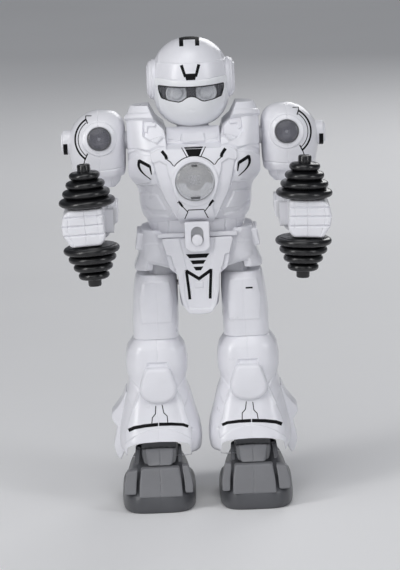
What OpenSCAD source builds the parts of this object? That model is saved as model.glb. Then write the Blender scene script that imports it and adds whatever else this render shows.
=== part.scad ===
// Walking humanoid toy robot with a helmet head, shoulder lamps, a chest lamp and a pair of dumbbells.
// Millimetres, +Z up, the robot faces -Y and its own left is +X.
// The origin is on the floor, at the centre of the bounding box.

/* [Body] */
// Height of the crown of the helmet above the floor
head_top = 263; // [262:0.5:264]
// Wall of the moulded shells
wall = 2; // [1.8:0.1:2.2]
// Gap between pieces that move past each other
gap = 0.4; // [0.35:0.05:0.5]

/* [Head] */
// Largest radius of the helmet
helmet_r = 23; // [22.5:0.1:23.4]
// Radius of the ear discs
ear_r = 11; // [10:0.5:11.5]
// Radius of the neck post
neck_r = 9; // [8:0.5:9.5]

/* [Chest] */
// Radius of the chest lens
chest_lens_r = 11; // [10:0.1:11.5]
// Height of the chest lens above the floor
chest_lens_z = 186; // [185:0.5:187]

/* [Power switch] */
// Travel of the switch knob
switch_travel = 4; // [3:0.25:4]
// Radius of the switch knob
knob_r = 3.1; // [2.9:0.05:3.2]

/* [Arms] */
// Distance of the shoulder centre from the middle plane
shoulder_x = 53.5; // [53:0.25:54]
// Height of the shoulder axis
shoulder_z = 206; // [205.5:0.25:206.5]
// Largest radius of the shoulder
shoulder_r = 18; // [17.5:0.1:18.2]
// Radius of the lamp lens in each shoulder
lamp_r = 6.5; // [6:0.1:6.6]
// Height of the elbow axis
elbow_z = 168; // [167.5:0.25:168.5]
// Outward lean of the fist and the dumbbell, in degrees
grip_lean = 3; // [2:0.5:4]

/* [Dumbbells] */
// Distance of the dumbbell from the middle plane
bell_x = 59.5; // [59:0.25:60]
// Distance of the dumbbell in front of the shoulder axis
bell_y = -50; // [-51:0.5:-49]
// Height of the middle of the grip
bell_z = 166.2; // [166:0.1:166.5]
// Radius of the largest weight
bell_r = 15.75; // [15:0.25:16]
// Step in radius from one weight to the next
bell_step = 2.4; // [2.2:0.1:2.5]
// Spacing of the weights along the bar
bell_pitch = 4.92; // [4.7:0.02:5]
// Radius of the bar
bar_r = 3.35; // [3.2:0.05:3.4]

/* [Legs] */
// Height of the hip axis
hip_z = 146; // [145.5:0.25:146.5]
// Height of the ankle axis
ankle_z = 42; // [41.5:0.25:42.5]
// Radius of the rollers under the feet
roller_r = 4.5; // [4.2:0.1:4.6]

/* [Drive] */
// Gear module
gear_m = 0.5; // [0.5:0.01:0.5]
// Teeth on the small gears
small_teeth = 10; // [10:1:10]
// Teeth on the two reduction gears
large_teeth = 36; // [36:1:36]
// Teeth on the output gear
output_teeth = 34; // [34:1:34]
// Throw of the crank pins
crank_throw = 3; // [2.5:0.1:3]

/* [Hidden] */
y_shift = 18; // puts the centre of the bounding box on the origin
eps = 0.01;
$fn = 64;

white = [0.90, 0.90, 0.92];
black = [0.06, 0.06, 0.07];
grey = [0.36, 0.37, 0.39];
steel = [0.72, 0.72, 0.74];

// ---------- helpers ----------

// Extrudes a (y, z) outline along X from x0 to x1
module along_x(x0, x1) translate([x0, 0, 0]) rotate([90, 0, 90]) linear_extrude(x1 - x0) children();
// Extrudes an (x, z) outline along Y from y0 to y1
module along_y(y0, y1) translate([0, y1, 0]) rotate([90, 0, 0]) linear_extrude(y1 - y0) children();
// Cylinder along X at (y, z)
module rod_x(r, x0, x1, y, z) translate([x0, y, z]) rotate([0, 90, 0]) cylinder(r = r, h = x1 - x0);
// Cylinder along Y at (x, z)
module rod_y(r, y0, y1, x, z) translate([x, y1, z]) rotate([90, 0, 0]) cylinder(r = r, h = y1 - y0);
module rod_z(r, z0, z1, x, y) translate([x, y, z0]) cylinder(r = r, h = z1 - z0);
module block(x0, x1, y0, y1, z0, z1) translate([x0, y0, z0]) cube([x1 - x0, y1 - y0, z1 - z0]);
// The left side's piece, or its mirror image on the right
module side(s) if (s > 0) children(); else mirror([1, 0, 0]) children();

function sgnpow(v, p) = sign(v) * pow(abs(v), p);
// A ring of a rounded box: height, x low, x high, y front, y back, roundness
function ring(r, n) = [for (i = [0 : n - 1]) let (a = 360 * i / n, p = 2 / r[5])
    [(r[1] + r[2]) / 2 + (r[2] - r[1]) / 2 * sgnpow(cos(a), p),
     (r[3] + r[4]) / 2 + (r[4] - r[3]) / 2 * sgnpow(sin(a), p), r[0]]];
function inset(r, w) = [r[0], r[1] + w, r[2] - w, r[3] + w, r[4] - w, r[5]];

// A closed solid through a stack of rings
module loft(rings, n = 28) {
    k = len(rings);
    points = [for (r = rings) each ring(r, n)];
    faces = concat(
        [[for (i = [n - 1 : -1 : 0]) n - 1 - i]],
        [[for (i = [n - 1 : -1 : 0]) (k - 1) * n + i]],
        [for (j = [0 : k - 2]) for (i = [0 : n - 1]) let (a = j * n + i, b = j * n + (i + 1) % n)
            each [[a, a + n, b + n], [a, b + n, b]]]
    );
    polyhedron(points = points, faces = faces, convexity = 6);
}

// A round cable of radius r along a list of points
function unit(v) = v / norm(v);
module cable(path, r, n = 8) {
    k = len(path);
    dirs = [for (i = [0 : k - 1]) unit(path[min(i + 1, k - 1)] - path[max(i - 1, 0)])];
    points = [for (i = [0 : k - 1]) let (
            d = dirs[i],
            u = unit(cross(d, abs(d[0]) < 0.8 ? [1, 0, 0] : [0, 0, 1])),
            v = cross(d, u))
        for (j = [0 : n - 1]) path[i] + r * (cos(360 * j / n) * u + sin(360 * j / n) * v)];
    faces = concat(
        [[for (j = [n - 1 : -1 : 0]) j]],
        [[for (j = [0 : n - 1]) (k - 1) * n + j]],
        [for (i = [0 : k - 2]) for (j = [0 : n - 1]) let (a = i * n + j, b = i * n + (j + 1) % n)
            each [[a, b, b + n], [a, b + n, a + n]]]
    );
    polyhedron(points = points, faces = faces, convexity = 4);
}

// ---------- torso ----------

// z, x low, x high, y front, y back, roundness
chest_rings = [
    [160, -26, 26, -19, 20, 6],
    [166, -30.3, 30.3, -24, 23, 6],
    [172, -31.6, 31.6, -27, 24, 6],
    [180.5, -32.3, 32.3, -29.5, 24, 5],
    [185, -35.5, 35.5, -30, 24, 5],
    [190, -37.3, 37.3, -30, 24, 5],
    [200, -37.3, 37.3, -27.5, 24, 5],
    [207, -37.3, 37.3, -23.5, 23.5, 4.5],
    [213, -37.3, 37.3, -20, 22.5, 4],
    [219, -37, 37, -17, 20, 3.8],
    [226, -34, 34, -12.5, 13, 3.4]
];
chest_cavity = [
    [159.9, -23, 23, -12, 12, 6],
    [162, -23, 23, -12, 12, 6],
    [162.1, -24.3, 24.3, -18.2, 18.5, 6],
    [166, -28.2, 28.2, -21.8, 20.9, 6],
    [172, -29.4, 29.4, -24.8, 21.9, 6],
    [180.5, -30.1, 30.1, -27.3, 21.9, 5],
    [185, -33.2, 33.2, -27.8, 21.9, 5],
    [190, -35.1, 35.1, -27.8, 21.9, 5],
    [200, -35.1, 35.1, -24.5, 21.9, 5],
    [203, -35.1, 35.1, -22.5, 21.9, 5]
];

module chest_outer() difference() {
    loft(chest_rings);
    // neckline between the shoulder pads
    along_y(-40, 40) polygon([[-15.6, 211], [-17, 216], [-21, 217.5], [-25.5, 228], [25.5, 228], [21, 217.5], [17, 216], [15.6, 211]]);
}

module chest_hollow() {
    loft(chest_cavity);
    // room for the shoulder axles inside each pad
    for (s = [-1, 1]) block(s * 26.5 - 8.6, s * 26.5 + 8.6, -11, 11, 195, 217);
    // seat of the collar and the throat of the neck
    rod_z(15.3, 205, 220, 0, 0);
    rod_z(12.5, 202, 206, 0, 0);
    for (s = [-1, 1]) rod_x(5.05, s > 0 ? 34 : -38, s > 0 ? 38 : -34, 0, shoulder_z);
}

screw_sites = [[29.2, 174], [29.2, 191], [-29.2, 174], [-29.2, 191]];
door_screw_z = 206.3;

module chest_front() color(white) difference() {
    union() {
        difference() {
            chest_outer();
            block(-60, 60, 0, 60, 150, 240);
            chest_hollow();
        }
        // screw bosses, and the ring that holds the lamp board and the loudspeaker
        intersection() {
            chest_outer();
            union() {
                for (p = screw_sites) rod_y(3.2, -40, 0, p[0], p[1]);
                difference() {
                    rod_y(13.2, -40, -19, 0, chest_lens_z);
                    rod_y(12, -50, -10, 0, chest_lens_z);
                    block(6, 16, -24, -10, chest_lens_z + 4, 210);
                }
            }
        }
    }
    for (p = screw_sites) rod_y(1.25, -8, 1, p[0], p[1]);
    rod_y(chest_lens_r, -40, -20, 0, chest_lens_z);
}

module chest_back() color(white) difference() {
    union() {
        difference() {
            chest_outer();
            block(-60, 60, -60, 0, 150, 240);
            chest_hollow();
        }
        intersection() {
            chest_outer();
            for (p = screw_sites) rod_y(3.2, 0, 40, p[0], p[1]);
        }
    }
    for (p = screw_sites) {
        rod_y(2.6, 15.5, 40, p[0], p[1]);
        rod_y(1.25, -1, 18, p[0], p[1]);
    }
    // battery opening
    battery_block();
    block(-23.4, 23.4, 20, 40, 166, 203.8);
    block(-4.9, 4.9, 21, 40, 200, 209.9);
    rod_y(1.3, 8, 40, 0, door_screw_z);
}

module collar() color(white) difference() {
    union() {
        rod_z(15.3, 205, 208.5, 0, 0);
        rod_z(13.2, 208.5, 210.5, 0, 0);
        rod_z(11.4, 210.5, 211.6, 0, 0);
    }
    rod_z(neck_r + 0.05, 200, 220, 0, 0);
}

// Half the outline of a shallow glass dome of radius r and bulge b on a rim from h0 to h1, hollow by w
function dome(r, h0, h1, b, w) = let (q = (r * r + b * b) / (2 * b))
    concat([[r - w, h0], [r, h0], [r, h1]], [for (a = [1 : 7]) let (x = r * (1 - a / 7)) [x, h1 + sqrt(q * q - x * x) - (q - b)]],
        [[0, h1 - 0.4], [r - w, h1 - 0.4]]);

module chest_lens() color([0.86, 0.87, 0.90, 0.5]) translate([0, -26, chest_lens_z]) rotate([90, 0, 0]) rotate_extrude() polygon(dome(chest_lens_r, 0, 4.2, 2, 1.4));

module circuit_boards() color([0.10, 0.38, 0.22]) {
    // main board
    block(-20, 20, 0.6, 2.2, 169.5, 201);
    block(-7, 7, -1.4, 0.6, 180, 190);
    for (x = [-14, 14]) rod_y(3, -7, 0.6, x, 176);
    // lamp board behind the chest lens, with a block of six lamps
    rod_y(10.5, -25.8, -24.6, 0, chest_lens_z);
    for (x = [-3, 0, 3]) for (z = [-1.6, 1.6]) block(x - 1.1, x + 1.1, -27.6, -25.7, chest_lens_z + z - 1.1, chest_lens_z + z + 1.1);
}

module waist_band() color(white) difference() {
    along_z_oct(26, 18.4, 5, 151.5, 160);
    along_z_oct(24, 16.5, 4.2, 151, 160.2);
    block(-1.7, 1.7, -20, -14, 149.3, 158);
}
// An eight-sided tube outline with half widths a and b and corner cut c
module along_z_oct(a, b, c, z0, z1) translate([0, 0, z0]) linear_extrude(z1 - z0)
    polygon([[-a, -b + c], [-a + c, -b], [a - c, -b], [a, -b + c], [a, b - c], [a - c, b], [-a + c, b], [-a, b - c]]);

pelvis_rings = [
    [137, -30.6, 30.6, -19.8, 18.8, 3.6],
    [146, -31, 31, -21, 19.5, 3.6],
    [151, -31, 31, -21, 19.5, 3.6],
    [154, -29.5, 29.5, -19.6, 18.2, 3.4]
];
crotch_side = [[-20.4, 146], [-20.2, 141], [-17, 136], [-17, 121], [-12, 111], [10, 111], [16.6, 121], [16.6, 136], [18.8, 141], [19, 146]];

module pelvis_outer() {
    loft(pelvis_rings);
    along_x(-11.5, 11.5) polygon(crotch_side);
}
// The front half (f = -1) or the back half (f = 1)
module pelvis_half(f) difference() {
    union() {
        difference() {
            pelvis_outer();
            block(-60, 60, f < 0 ? 0 : -60, f < 0 ? 60 : 0, 100, 170);
            loft([inset([136.5, -30.6, 30.6, -19.8, 18.8, 3.6], wall), inset([146, -31, 31, -21, 19.5, 3.6], wall), inset([152, -31, 31, -21, 19.5, 3.6], wall)]);
            along_z_oct(26, 18.4, 5, 151, 155);
            along_x(-10, 10) polygon([[-18.4, 148], [-18.2, 140.8], [-15.3, 135.6], [-15.3, 121.4], [-11, 112.8], [9.2, 112.8], [14.8, 121.4], [14.8, 135.6], [16.8, 140.8], [17, 148]]);
        }
        // cheeks that carry the hip pins
        for (s = [-1, 1]) along_x(s > 0 ? 10 : -11.5, s > 0 ? 11.5 : -10) polygon(f < 0
            ? [[-18.6, 149.5], [-18.6, 141], [-16, 136], [-16, 128], [0, 128], [0, 149.5]]
            : [[0, 149.5], [0, 128], [15.6, 128], [15.6, 136], [17.2, 141], [17.2, 149.5]]);
    }
    for (s = [-1, 1]) rod_x(5.4, s > 0 ? 9 : -12, s > 0 ? 12 : -9, 0, crank_z);
    rod_x(1.95, -30.5, 30.5, 0, hip_z);
    block(-1.7, 1.7, -24, -17, 149.3, 158);
}
module pelvis_front() color(white) pelvis_half(-1);
module pelvis_back() color(white) pelvis_half(1);

module crotch_plate() color(white) difference() {
    along_y(-24, -21.1) polygon([[-20.6, 151.5], [-17.6, 136], [-16.2, 131.8], [-11.6, 128.5], [-11.4, 118], [-8.5, 108], [-4, 104.5],
        [4, 104.5], [8.5, 108], [11.4, 118], [11.6, 128.5], [16.2, 131.8], [17.6, 136], [20.6, 151.5]]);
    block(-1.7, 1.7, -26, -18, 149.3, 158);
}

module switch_plate() color(white) difference() {
    along_y(-27, -24) polygon([[-7, 164], [-7, 148], [-4.6, 144.8], [4.6, 144.8], [7, 148], [7, 164]]);
    rod_y(knob_r + 0.3, -28, -23, 0, 151.5);
    rod_y(knob_r + 0.3, -28, -23, 0, 151.5 + switch_travel);
    block(-knob_r - 0.3, knob_r + 0.3, -28, -23, 151.5, 151.5 + switch_travel);
}
module switch_knob() color(white) {
    rod_y(knob_r, -28.6, -24.5, 0, 151.5);
    block(-1.3, 1.3, -24.5, -16.2, 150.2, 152.8);
}
module switch_body() color(black) block(-4.6, 4.6, -15.8, -12.2, 147, 160);

module hip_guards() color(white) for (s = [-1, 1]) side(s)
    along_y(-13, 12) polygon([[30.4, 155.6], [33.9, 156.8], [35, 146.4], [33.7, 145.8], [33.6, 143], [36.8, 134.8], [36.4, 133.6], [30.4, 133.6]]);

module speaker() color(black) {
    rod_y(12, -21, -19, 0, chest_lens_z);
    rod_y(8, -19, -13, 0, chest_lens_z);
}

// ---------- power ----------

cell_z = [174.2, 185.1, 196];
module battery_block() block(-24.5, 24.5, 8.2, 20.3, 168.3, 201.9);
module battery_box() color(black) difference() {
    battery_block();
    for (z = cell_z) {
        rod_x(5.35, -23.4, 23.4, 14.2, z);
        block(-23.4, 23.4, 14.2, 22, z - 5.1, z + 5.1);
    }
}
module batteries() color([0.30, 0.33, 0.40]) for (i = [0 : 2]) mirror([i % 2, 0, 0]) {
    rod_x(5.25, -22.4, 21.1, 14.2, cell_z[i]);
    rod_x(1.9, 21.1, 22.1, 14.2, cell_z[i]);
}
module battery_contacts() color(steel) for (i = [0 : 2]) mirror([i % 2, 0, 0]) {
    block(22.15, 22.6, 11.2, 17.2, cell_z[i] - 4, cell_z[i] + 4);
    block(22.6, 23.4, 13.2, 15.2, cell_z[i] - 2, cell_z[i] + 2);
    block(-22.9, -22.45, 11.2, 17.2, cell_z[i] - 4, cell_z[i] + 4);
    block(-23.4, -22.9, 13.2, 15.2, cell_z[i] - 2, cell_z[i] + 2);
}
module battery_door() color(white) difference() {
    intersection() {
        chest_outer();
        union() {
            block(-23, 23, 21.5, 40, 166.4, 203.4);
            block(-4.5, 4.5, 21.5, 40, 200, 209.5);
        }
    }
    rod_y(1.3, 18, 30, 0, door_screw_z);
    rod_y(2.5, 22.6, 30, 0, door_screw_z);
}
module door_screw() color(steel) {
    rod_y(2.4, 22.6, 23.4, 0, door_screw_z);
    rod_y(1.2, 18, 22.6, 0, door_screw_z);
}
module screws() color(steel) for (p = screw_sites) {
    rod_y(2.4, 15.5, 17, p[0], p[1]);
    rod_y(1.2, -7, 15.5, p[0], p[1]);
}

// ---------- drive ----------

gear_gap = 0.1;
pinion_y = 0;
pinion_z = 160;
mesh_a = gear_m * (small_teeth + large_teeth) / 2 + gear_gap;
mesh_b = gear_m * (small_teeth + output_teeth) / 2 + gear_gap;
first_y = 0;
first_z = pinion_z - mesh_a;
second_y = 3;
second_z = first_z - sqrt(mesh_a * mesh_a - (second_y - first_y) * (second_y - first_y));
crank_y = 0;
crank_z = second_z - sqrt(mesh_b * mesh_b - (second_y - crank_y) * (second_y - crank_y));
dir_a = -90;
dir_b = atan2(second_z - first_z, second_y - first_y);
dir_c = atan2(crank_z - second_z, crank_y - second_y);

// A gear outline with straight-flanked teeth and one tooth along angle a
function gear_points(z, m, a) = let (r = m * z / 2, ro = r + 0.85 * m, ri = r - 1.2 * m)
    [for (i = [0 : z - 1]) let (c = a + 360 * i / z, p = 360 / z)
        each [for (q = [[ri, -0.36], [r, -0.19], [ro, -0.07], [ro, 0.07], [r, 0.19], [ri, 0.36]])
            q[0] * [cos(c + q[1] * p), sin(c + q[1] * p)]]];
module gear(z, a, x0, x1, y, zc) translate([0, y, zc]) along_x(x0, x1) polygon(gear_points(z, gear_m, a));

module motor_pinion() color(steel) {
    gear(small_teeth, dir_a, 4.3, 7.2, pinion_y, pinion_z);
    rod_x(1, 3.5, 7.6, pinion_y, pinion_z);
}
module first_gear() color([0.93, 0.92, 0.86]) difference() {
    union() {
        gear(large_teeth, dir_a + 180 + 180 / large_teeth, 4.3, 7.2, first_y, first_z);
        gear(small_teeth, dir_b, 0.5, 4.3, first_y, first_z);
    }
    rod_x(1.05, -10, 10, first_y, first_z);
}
module second_gear() color([0.93, 0.92, 0.86]) difference() {
    union() {
        gear(large_teeth, dir_b + 180 + 180 / large_teeth, 0.5, 3.4, second_y, second_z);
        gear(small_teeth, dir_c, -3.6, 0.5, second_y, second_z);
    }
    rod_x(1.05, -10, 10, second_y, second_z);
}
module crankshaft() color(steel) {
    gear(output_teeth, dir_c + 180 + 180 / output_teeth, -3.6, -0.7, crank_y, crank_z);
    rod_x(1.5, -9.4, 9.4, crank_y, crank_z);
    for (s = [-1, 1]) {
        rod_x(5, s > 0 ? 9.4 : -11, s > 0 ? 11 : -9.4, crank_y, crank_z);
        rod_x(1.5, s > 0 ? 11 : -17.5, s > 0 ? 17.5 : -11, crank_y, crank_z + s * crank_throw);
    }
}
module gearbox_frame() color([0.20, 0.21, 0.23]) {
    difference() {
        along_x(7.8, 9.2) polygon([[-10, 157], [-10, 118], [-8, 115], [9, 115], [12.4, 120], [12.4, 157], [7, 167], [-7, 167]]);
        rod_x(1.55, 7, 10, crank_y, crank_z);
        rod_x(1.4, 7, 10, pinion_y, pinion_z);
    }
    difference() {
        along_x(-9.2, -7.8) polygon([[-10, 152.5], [-10, 118], [-8, 115], [9, 115], [12.4, 120], [12.4, 152.5]]);
        rod_x(1.55, -10, -7, crank_y, crank_z);
    }
    // shelf for the motor
    block(-21.6, -1, -9, 9, pinion_z - 8.4, pinion_z - 7.5);
    rod_x(1, -7.8, 7.8, first_y, first_z);
    rod_x(1, -7.8, 7.8, second_y, second_z);
    rod_x(1.5, -7.8, 7.8, -8, 140);
    rod_x(1.2, -7.8, 7.8, 10.9, 150.8);
    rod_x(1.5, -7.8, 7.8, -7.5, 117.2);
    rod_x(1.5, -7.8, 7.8, 10, 121);
}
module motor() color(steel) {
    intersection() {
        rod_x(10, -21.6, 2.4, pinion_y, pinion_z);
        block(-22, 4, -12, 12, pinion_z - 7.5, pinion_z + 7.5);
    }
    difference() {
        rod_x(3, 2.4, 3.4, pinion_y, pinion_z);
        rod_x(1.2, 2.4, 5, pinion_y, pinion_z);
    }
}
module hip_pins() color(steel) for (s = [-1, 1]) rod_x(2, s > 0 ? 9.6 : -30.4, s > 0 ? 30.4 : -9.6, 0, hip_z);

wire_routes = [
    // battery box to the main board
    [[-18, 8.2, 172], [-18, 6.5, 170.4], [-17, 4.5, 169.9], [-16, 3, 170.6], [-15.5, 2.2, 172]],
    // main board to the motor
    [[-12, 2.2, 171.5], [-12, 4, 170], [-14, 6, 169.2], [-18, 7, 168.4], [-22.2, 6, 165], [-22.2, 3.5, 162], [-21.6, 2, 161]],
    // main board to the switch
    [[10, 0.6, 171], [10, -4, 169.5], [9, -8, 168.3], [6.5, -10.4, 165.5], [4, -10.9, 161.5], [3, -11.3, 158.5], [2.5, -12.2, 157]],
    // main board to the chest lamp board
    [[16, 0.6, 196], [16, -8, 198], [15, -16, 198], [12.5, -20.5, 196], [8.5, -23, 193], [7.5, -24.6, 191.6]]
];
module wiring() color([0.70, 0.08, 0.06]) for (p = wire_routes) cable(p, 0.5);

// ---------- head ----------

// Depth of the chin below the middle of the helmet
chin_drop = 26.4;
// Helmet radius against height, from the chin to the crown
function helmet_profile(w) = [for (i = [0 : 22]) let (t = i / 22, a = -90 + 180 * t, b = sgnpow(sin(a), 0.86), h = b > 0 ? head_top - 239 : chin_drop)
    [max(0, (helmet_r - w) * pow(max(0, cos(a)), 0.86)), 239 + (h - w) * b]];
module helmet_solid(w) rotate_extrude() polygon(concat([[0, 239 - (chin_drop - w)]], [for (p = helmet_profile(w)) if (p[0] > 0.3) p], [[0, head_top - w]]));
module visor_opening(g) along_y(-40, -4) polygon([[-18.8 + g, 240.5 - g], [-12, 239.2 - g], [0, 238 - g], [12, 239.2 - g], [18.8 - g, 240.5 - g],
    [18.6 - g, 236.5], [17 - g, 232 + g], [7, 229 + g], [5.6, 229.4 + g], [0, 231.8 + g], [-5.6, 229.4 + g], [-7, 229 + g], [-17 + g, 232 + g], [-18.6 + g, 236.5]]);

module face_guard() color(white) difference() {
    intersection() {
        difference() {
            helmet_solid(0);
            helmet_solid(wall);
        }
        along_x(-40, 40) polygon([[-40, 241], [-7, 241], [-4, 226], [-4, 210], [-40, 210]]);
    }
    visor_opening(0);
    rod_z(neck_r, 205, 225, 0, 0);
    ear_seats();
}
module helmet() color(white) difference() {
    helmet_solid(0);
    helmet_solid(wall);
    along_x(-40, 40) polygon([[-40, 241], [-7, 241], [-4, 226], [-4, 205], [-40, 205]]);
    rod_z(neck_r, 205, 225, 0, 0);
    ear_seats();
}
module ear_seats() for (s = [-1, 1]) rod_x(ear_r, s > 0 ? 21.3 : -30, s > 0 ? 30 : -21.3, 1, 239.5);
module visor() color([0.25, 0.25, 0.27, 0.6]) intersection() {
    difference() {
        helmet_solid(0.7);
        helmet_solid(2);
    }
    visor_opening(0);
}
module eye_reflectors() color(grey) {
    for (x = [-8.2, 8.2]) {
        difference() {
            rod_y(4.9, -15.6, -13, x, 234.8);
            rod_y(4.1, -16, -14.4, x, 234.8);
        }
        rod_y(2.1, -15.6, -14.4, x, 234.8);
    }
    block(-13.6, 13.6, -13.2, -12, 230.4, 239.2);
    block(-17.15, 17.15, -12, -10.8, 233, 237);
}
module ear_caps() color(white) for (s = [-1, 1]) side(s) {
    rod_x(ear_r, 21.3, 24, 1, 239.5);
    rod_x(ear_r - 3, 24, 25, 1, 239.5);
}
module neck_post() color(grey) {
    rod_z(neck_r, 204, 219, 0, 0);
    rod_z(11, 202.6, 204.4, 0, 0);
    rod_z(11, 218.4, 220.4, 0, 0);
}

// ---------- arms ----------

// Shoulder radius against distance from the middle plane
shoulder_profile = [[38, 14.8], [41, 16.4], [45, 17.6], [50, shoulder_r], [55, shoulder_r], [60, 16.9], [65, 14.2], [68.5, 10.6], [70.8, 7.2]];
module shoulder_form(w) translate([0, 0, shoulder_z]) rotate([0, 90, 0]) rotate_extrude()
    polygon(concat([[0, 38 + w]], [for (p = shoulder_profile) [p[1] - w, min(70.8 - w, max(38 + w, p[0]))]], [[0, 70.8 - w]]));
module shoulder_outer_form() {
    shoulder_form(0);
    rod_z(14.2, 187, shoulder_z, 54, 0);
}
module shoulder_inner_form() {
    shoulder_form(wall);
    rod_z(12.2, 180, shoulder_z, 54, 0);
}
module lamp_axis() translate([53, 0, shoulder_z]) rotate([90 - 11.5, 0, 0]) children();

module shoulder_inner() color(white) {
    difference() {
        shoulder_outer_form();
        shoulder_inner_form();
        block(shoulder_x, 90, -30, 30, 170, 230);
        lamp_axis() cylinder(r = lamp_r, h = 30);
    }
    rod_x(5, 31.5, 38.5, 0, shoulder_z);
    rod_x(7, 31.5, 34, 0, shoulder_z);
}
module shoulder_outer() color(white) {
    difference() {
        shoulder_outer_form();
        shoulder_inner_form();
        block(0, shoulder_x, -30, 30, 170, 230);
        lamp_axis() cylinder(r = lamp_r, h = 30);
    }
    rod_x(6.8, 70.7, 73.6, 0, shoulder_z);
    rod_x(5.2, 73.5, 74.6, 0, shoulder_z);
}
module shoulder_lens() color([0.45, 0.45, 0.48, 0.6]) lamp_axis() translate([0, 0, 13.6]) rotate_extrude() polygon(dome(lamp_r, 0, 4.2, 1.2, 1.4));

elbow_y = 2;
module upper_arm() color(white) difference() {
    union() {
        rod_z(12.1, 187, 194, 54, 0);
        intersection() {
            along_y(-12, 12) polygon([[41, 187], [41.4, 184], [44.4, 180.6], [62, 180.6], [66, 187]]);
            along_x(40, 68) polygon([[-12, 187], [-9, 180.6], [10, 180.6], [12, 187]]);
        }
        block(51, 59, -3.4, 7, elbow_z, 181);
        rod_x(6.2, 51, 59, elbow_y, elbow_z);
        rod_x(2.5, 48, 62, elbow_y, elbow_z);
    }
    rod_z(9, 188.5, 195, 54, 0);
}

fist_front = [[50.6, 176.9], [69.6, 176.9], [73.6, 173.6], [75, 168], [74.4, 162.6], [70.4, 155.7], [53, 155.7], [50.6, 160]];
module lean() translate([bell_x, 0, bell_z]) rotate([0, grip_lean, 0]) translate([-bell_x, 0, -bell_z]) children();
module forearm() color(white) difference() {
    union() {
        // fist
        lean() intersection() {
            along_y(-61.5, -37.8) polygon(fist_front);
            along_x(40, 80) polygon([[-61.5, 173], [-59, 177], [-37.8, 177], [-37.8, 155.6], [-57, 155.6], [-61.5, 160]]);
        }
        // forearm
        along_x(46, 71.5) polygon([[-42, 159.5], [-42, 174], [-12, 175], [-4, elbow_z + 5.5], [elbow_y - 4, elbow_z + 5.8], [elbow_y + 4, elbow_z + 5.8],
            [elbow_y + 7, elbow_z + 2], [elbow_y + 7, elbow_z - 4], [elbow_y + 3, elbow_z - 7.5], [-18, 159]]);
        along_x(43.6, 46) polygon([[-34, 163], [-34, 173.5], [-2, 173.5], [4, 170], [4, 163]]);
    }
    // slot for the tongue of the upper arm, and the bores for its pegs
    block(50.6, 59.4, -8.2, 20, 150, 190);
    rod_x(2.55, 47.9, 62.1, elbow_y, elbow_z);
    // hollow inside
    block(52.6, 69.4, -37, -10.5, 162, 172);
    // grip
    lean() rod_z(bar_r + 0.05, 140, 190, bell_x, bell_y);
}

// One stack of weights, largest at height 0, radius bell_r
function weight_edge(k) = let (r = bell_r - k * bell_step, z = k * bell_pitch, t = bell_pitch * 0.5)
    [for (a = [-90 : 30 : 90]) [r - 1.9 + 1.9 * cos(a), z + t + (t - 0.35) * sin(a)]];
function weight_points(inner) = concat([[inner, 0], [bell_r - 1.9 - 0.6, 0]], [for (k = [0 : 3]) each weight_edge(k)],
    [[3.4, 4 * bell_pitch], [3.4, 4 * bell_pitch + 3.6], [2.8, 4 * bell_pitch + 4.2]]);
module stack(inner) rotate_extrude() polygon(concat(weight_points(inner), [[inner, 4 * bell_pitch + 4.2]]));
module at_bell() lean() translate([bell_x, bell_y, bell_z]) children();

module dumbbell_top() color(black) at_bell() {
    difference() {
        translate([0, 0, 11]) stack(0);
        translate([0, 0, 13]) cylinder(r = 6, h = 13);
    }
    translate([0, 0, -24]) cylinder(r = bar_r, h = 35.5);
}
module dumbbell_bottom() color(black) at_bell() difference() {
    translate([0, 0, -11]) rotate([180, 0, 0]) stack(0);
    translate([0, 0, -24.2]) cylinder(r = bar_r + 0.02, h = 20);
}

// ---------- legs ----------

thigh_rings = [
    [94, 12.4, 39.2, -17, 16.5, 3.6],
    [104, 12, 39, -18.5, 17.5, 3.6],
    [116, 12, 38.2, -19.6, 18, 3.6],
    [126, 12, 37, -19, 17, 3.6],
    [131, 12.2, 35.6, -16.5, 14.5, 3.4]
];
module thigh() color(white) difference() {
    union() {
        loft(thigh_rings, 24);
        loft([[129, 12.3, 27.8, -9.5, 9.5, 3], [140, 12.3, 27.8, -9.5, 9.5, 3], [hip_z + 1, 12.3, 27.8, -6.5, 6.5, 3]], 24);
        rod_x(5, 12.3, 28.2, 0, hip_z);
        block(16, 34, -11, 11, 80, 95);
    }
    loft([[97, 14.4, 36.8, -15.5, 14.5, 3.6], [126, 14.4, 34.8, -15.5, 14.5, 3.6]], 24);
    rod_x(7.6, 11, 18.5, crank_y, crank_z);
    rod_x(2.05, 10, 30, 0, hip_z);
}

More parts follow.
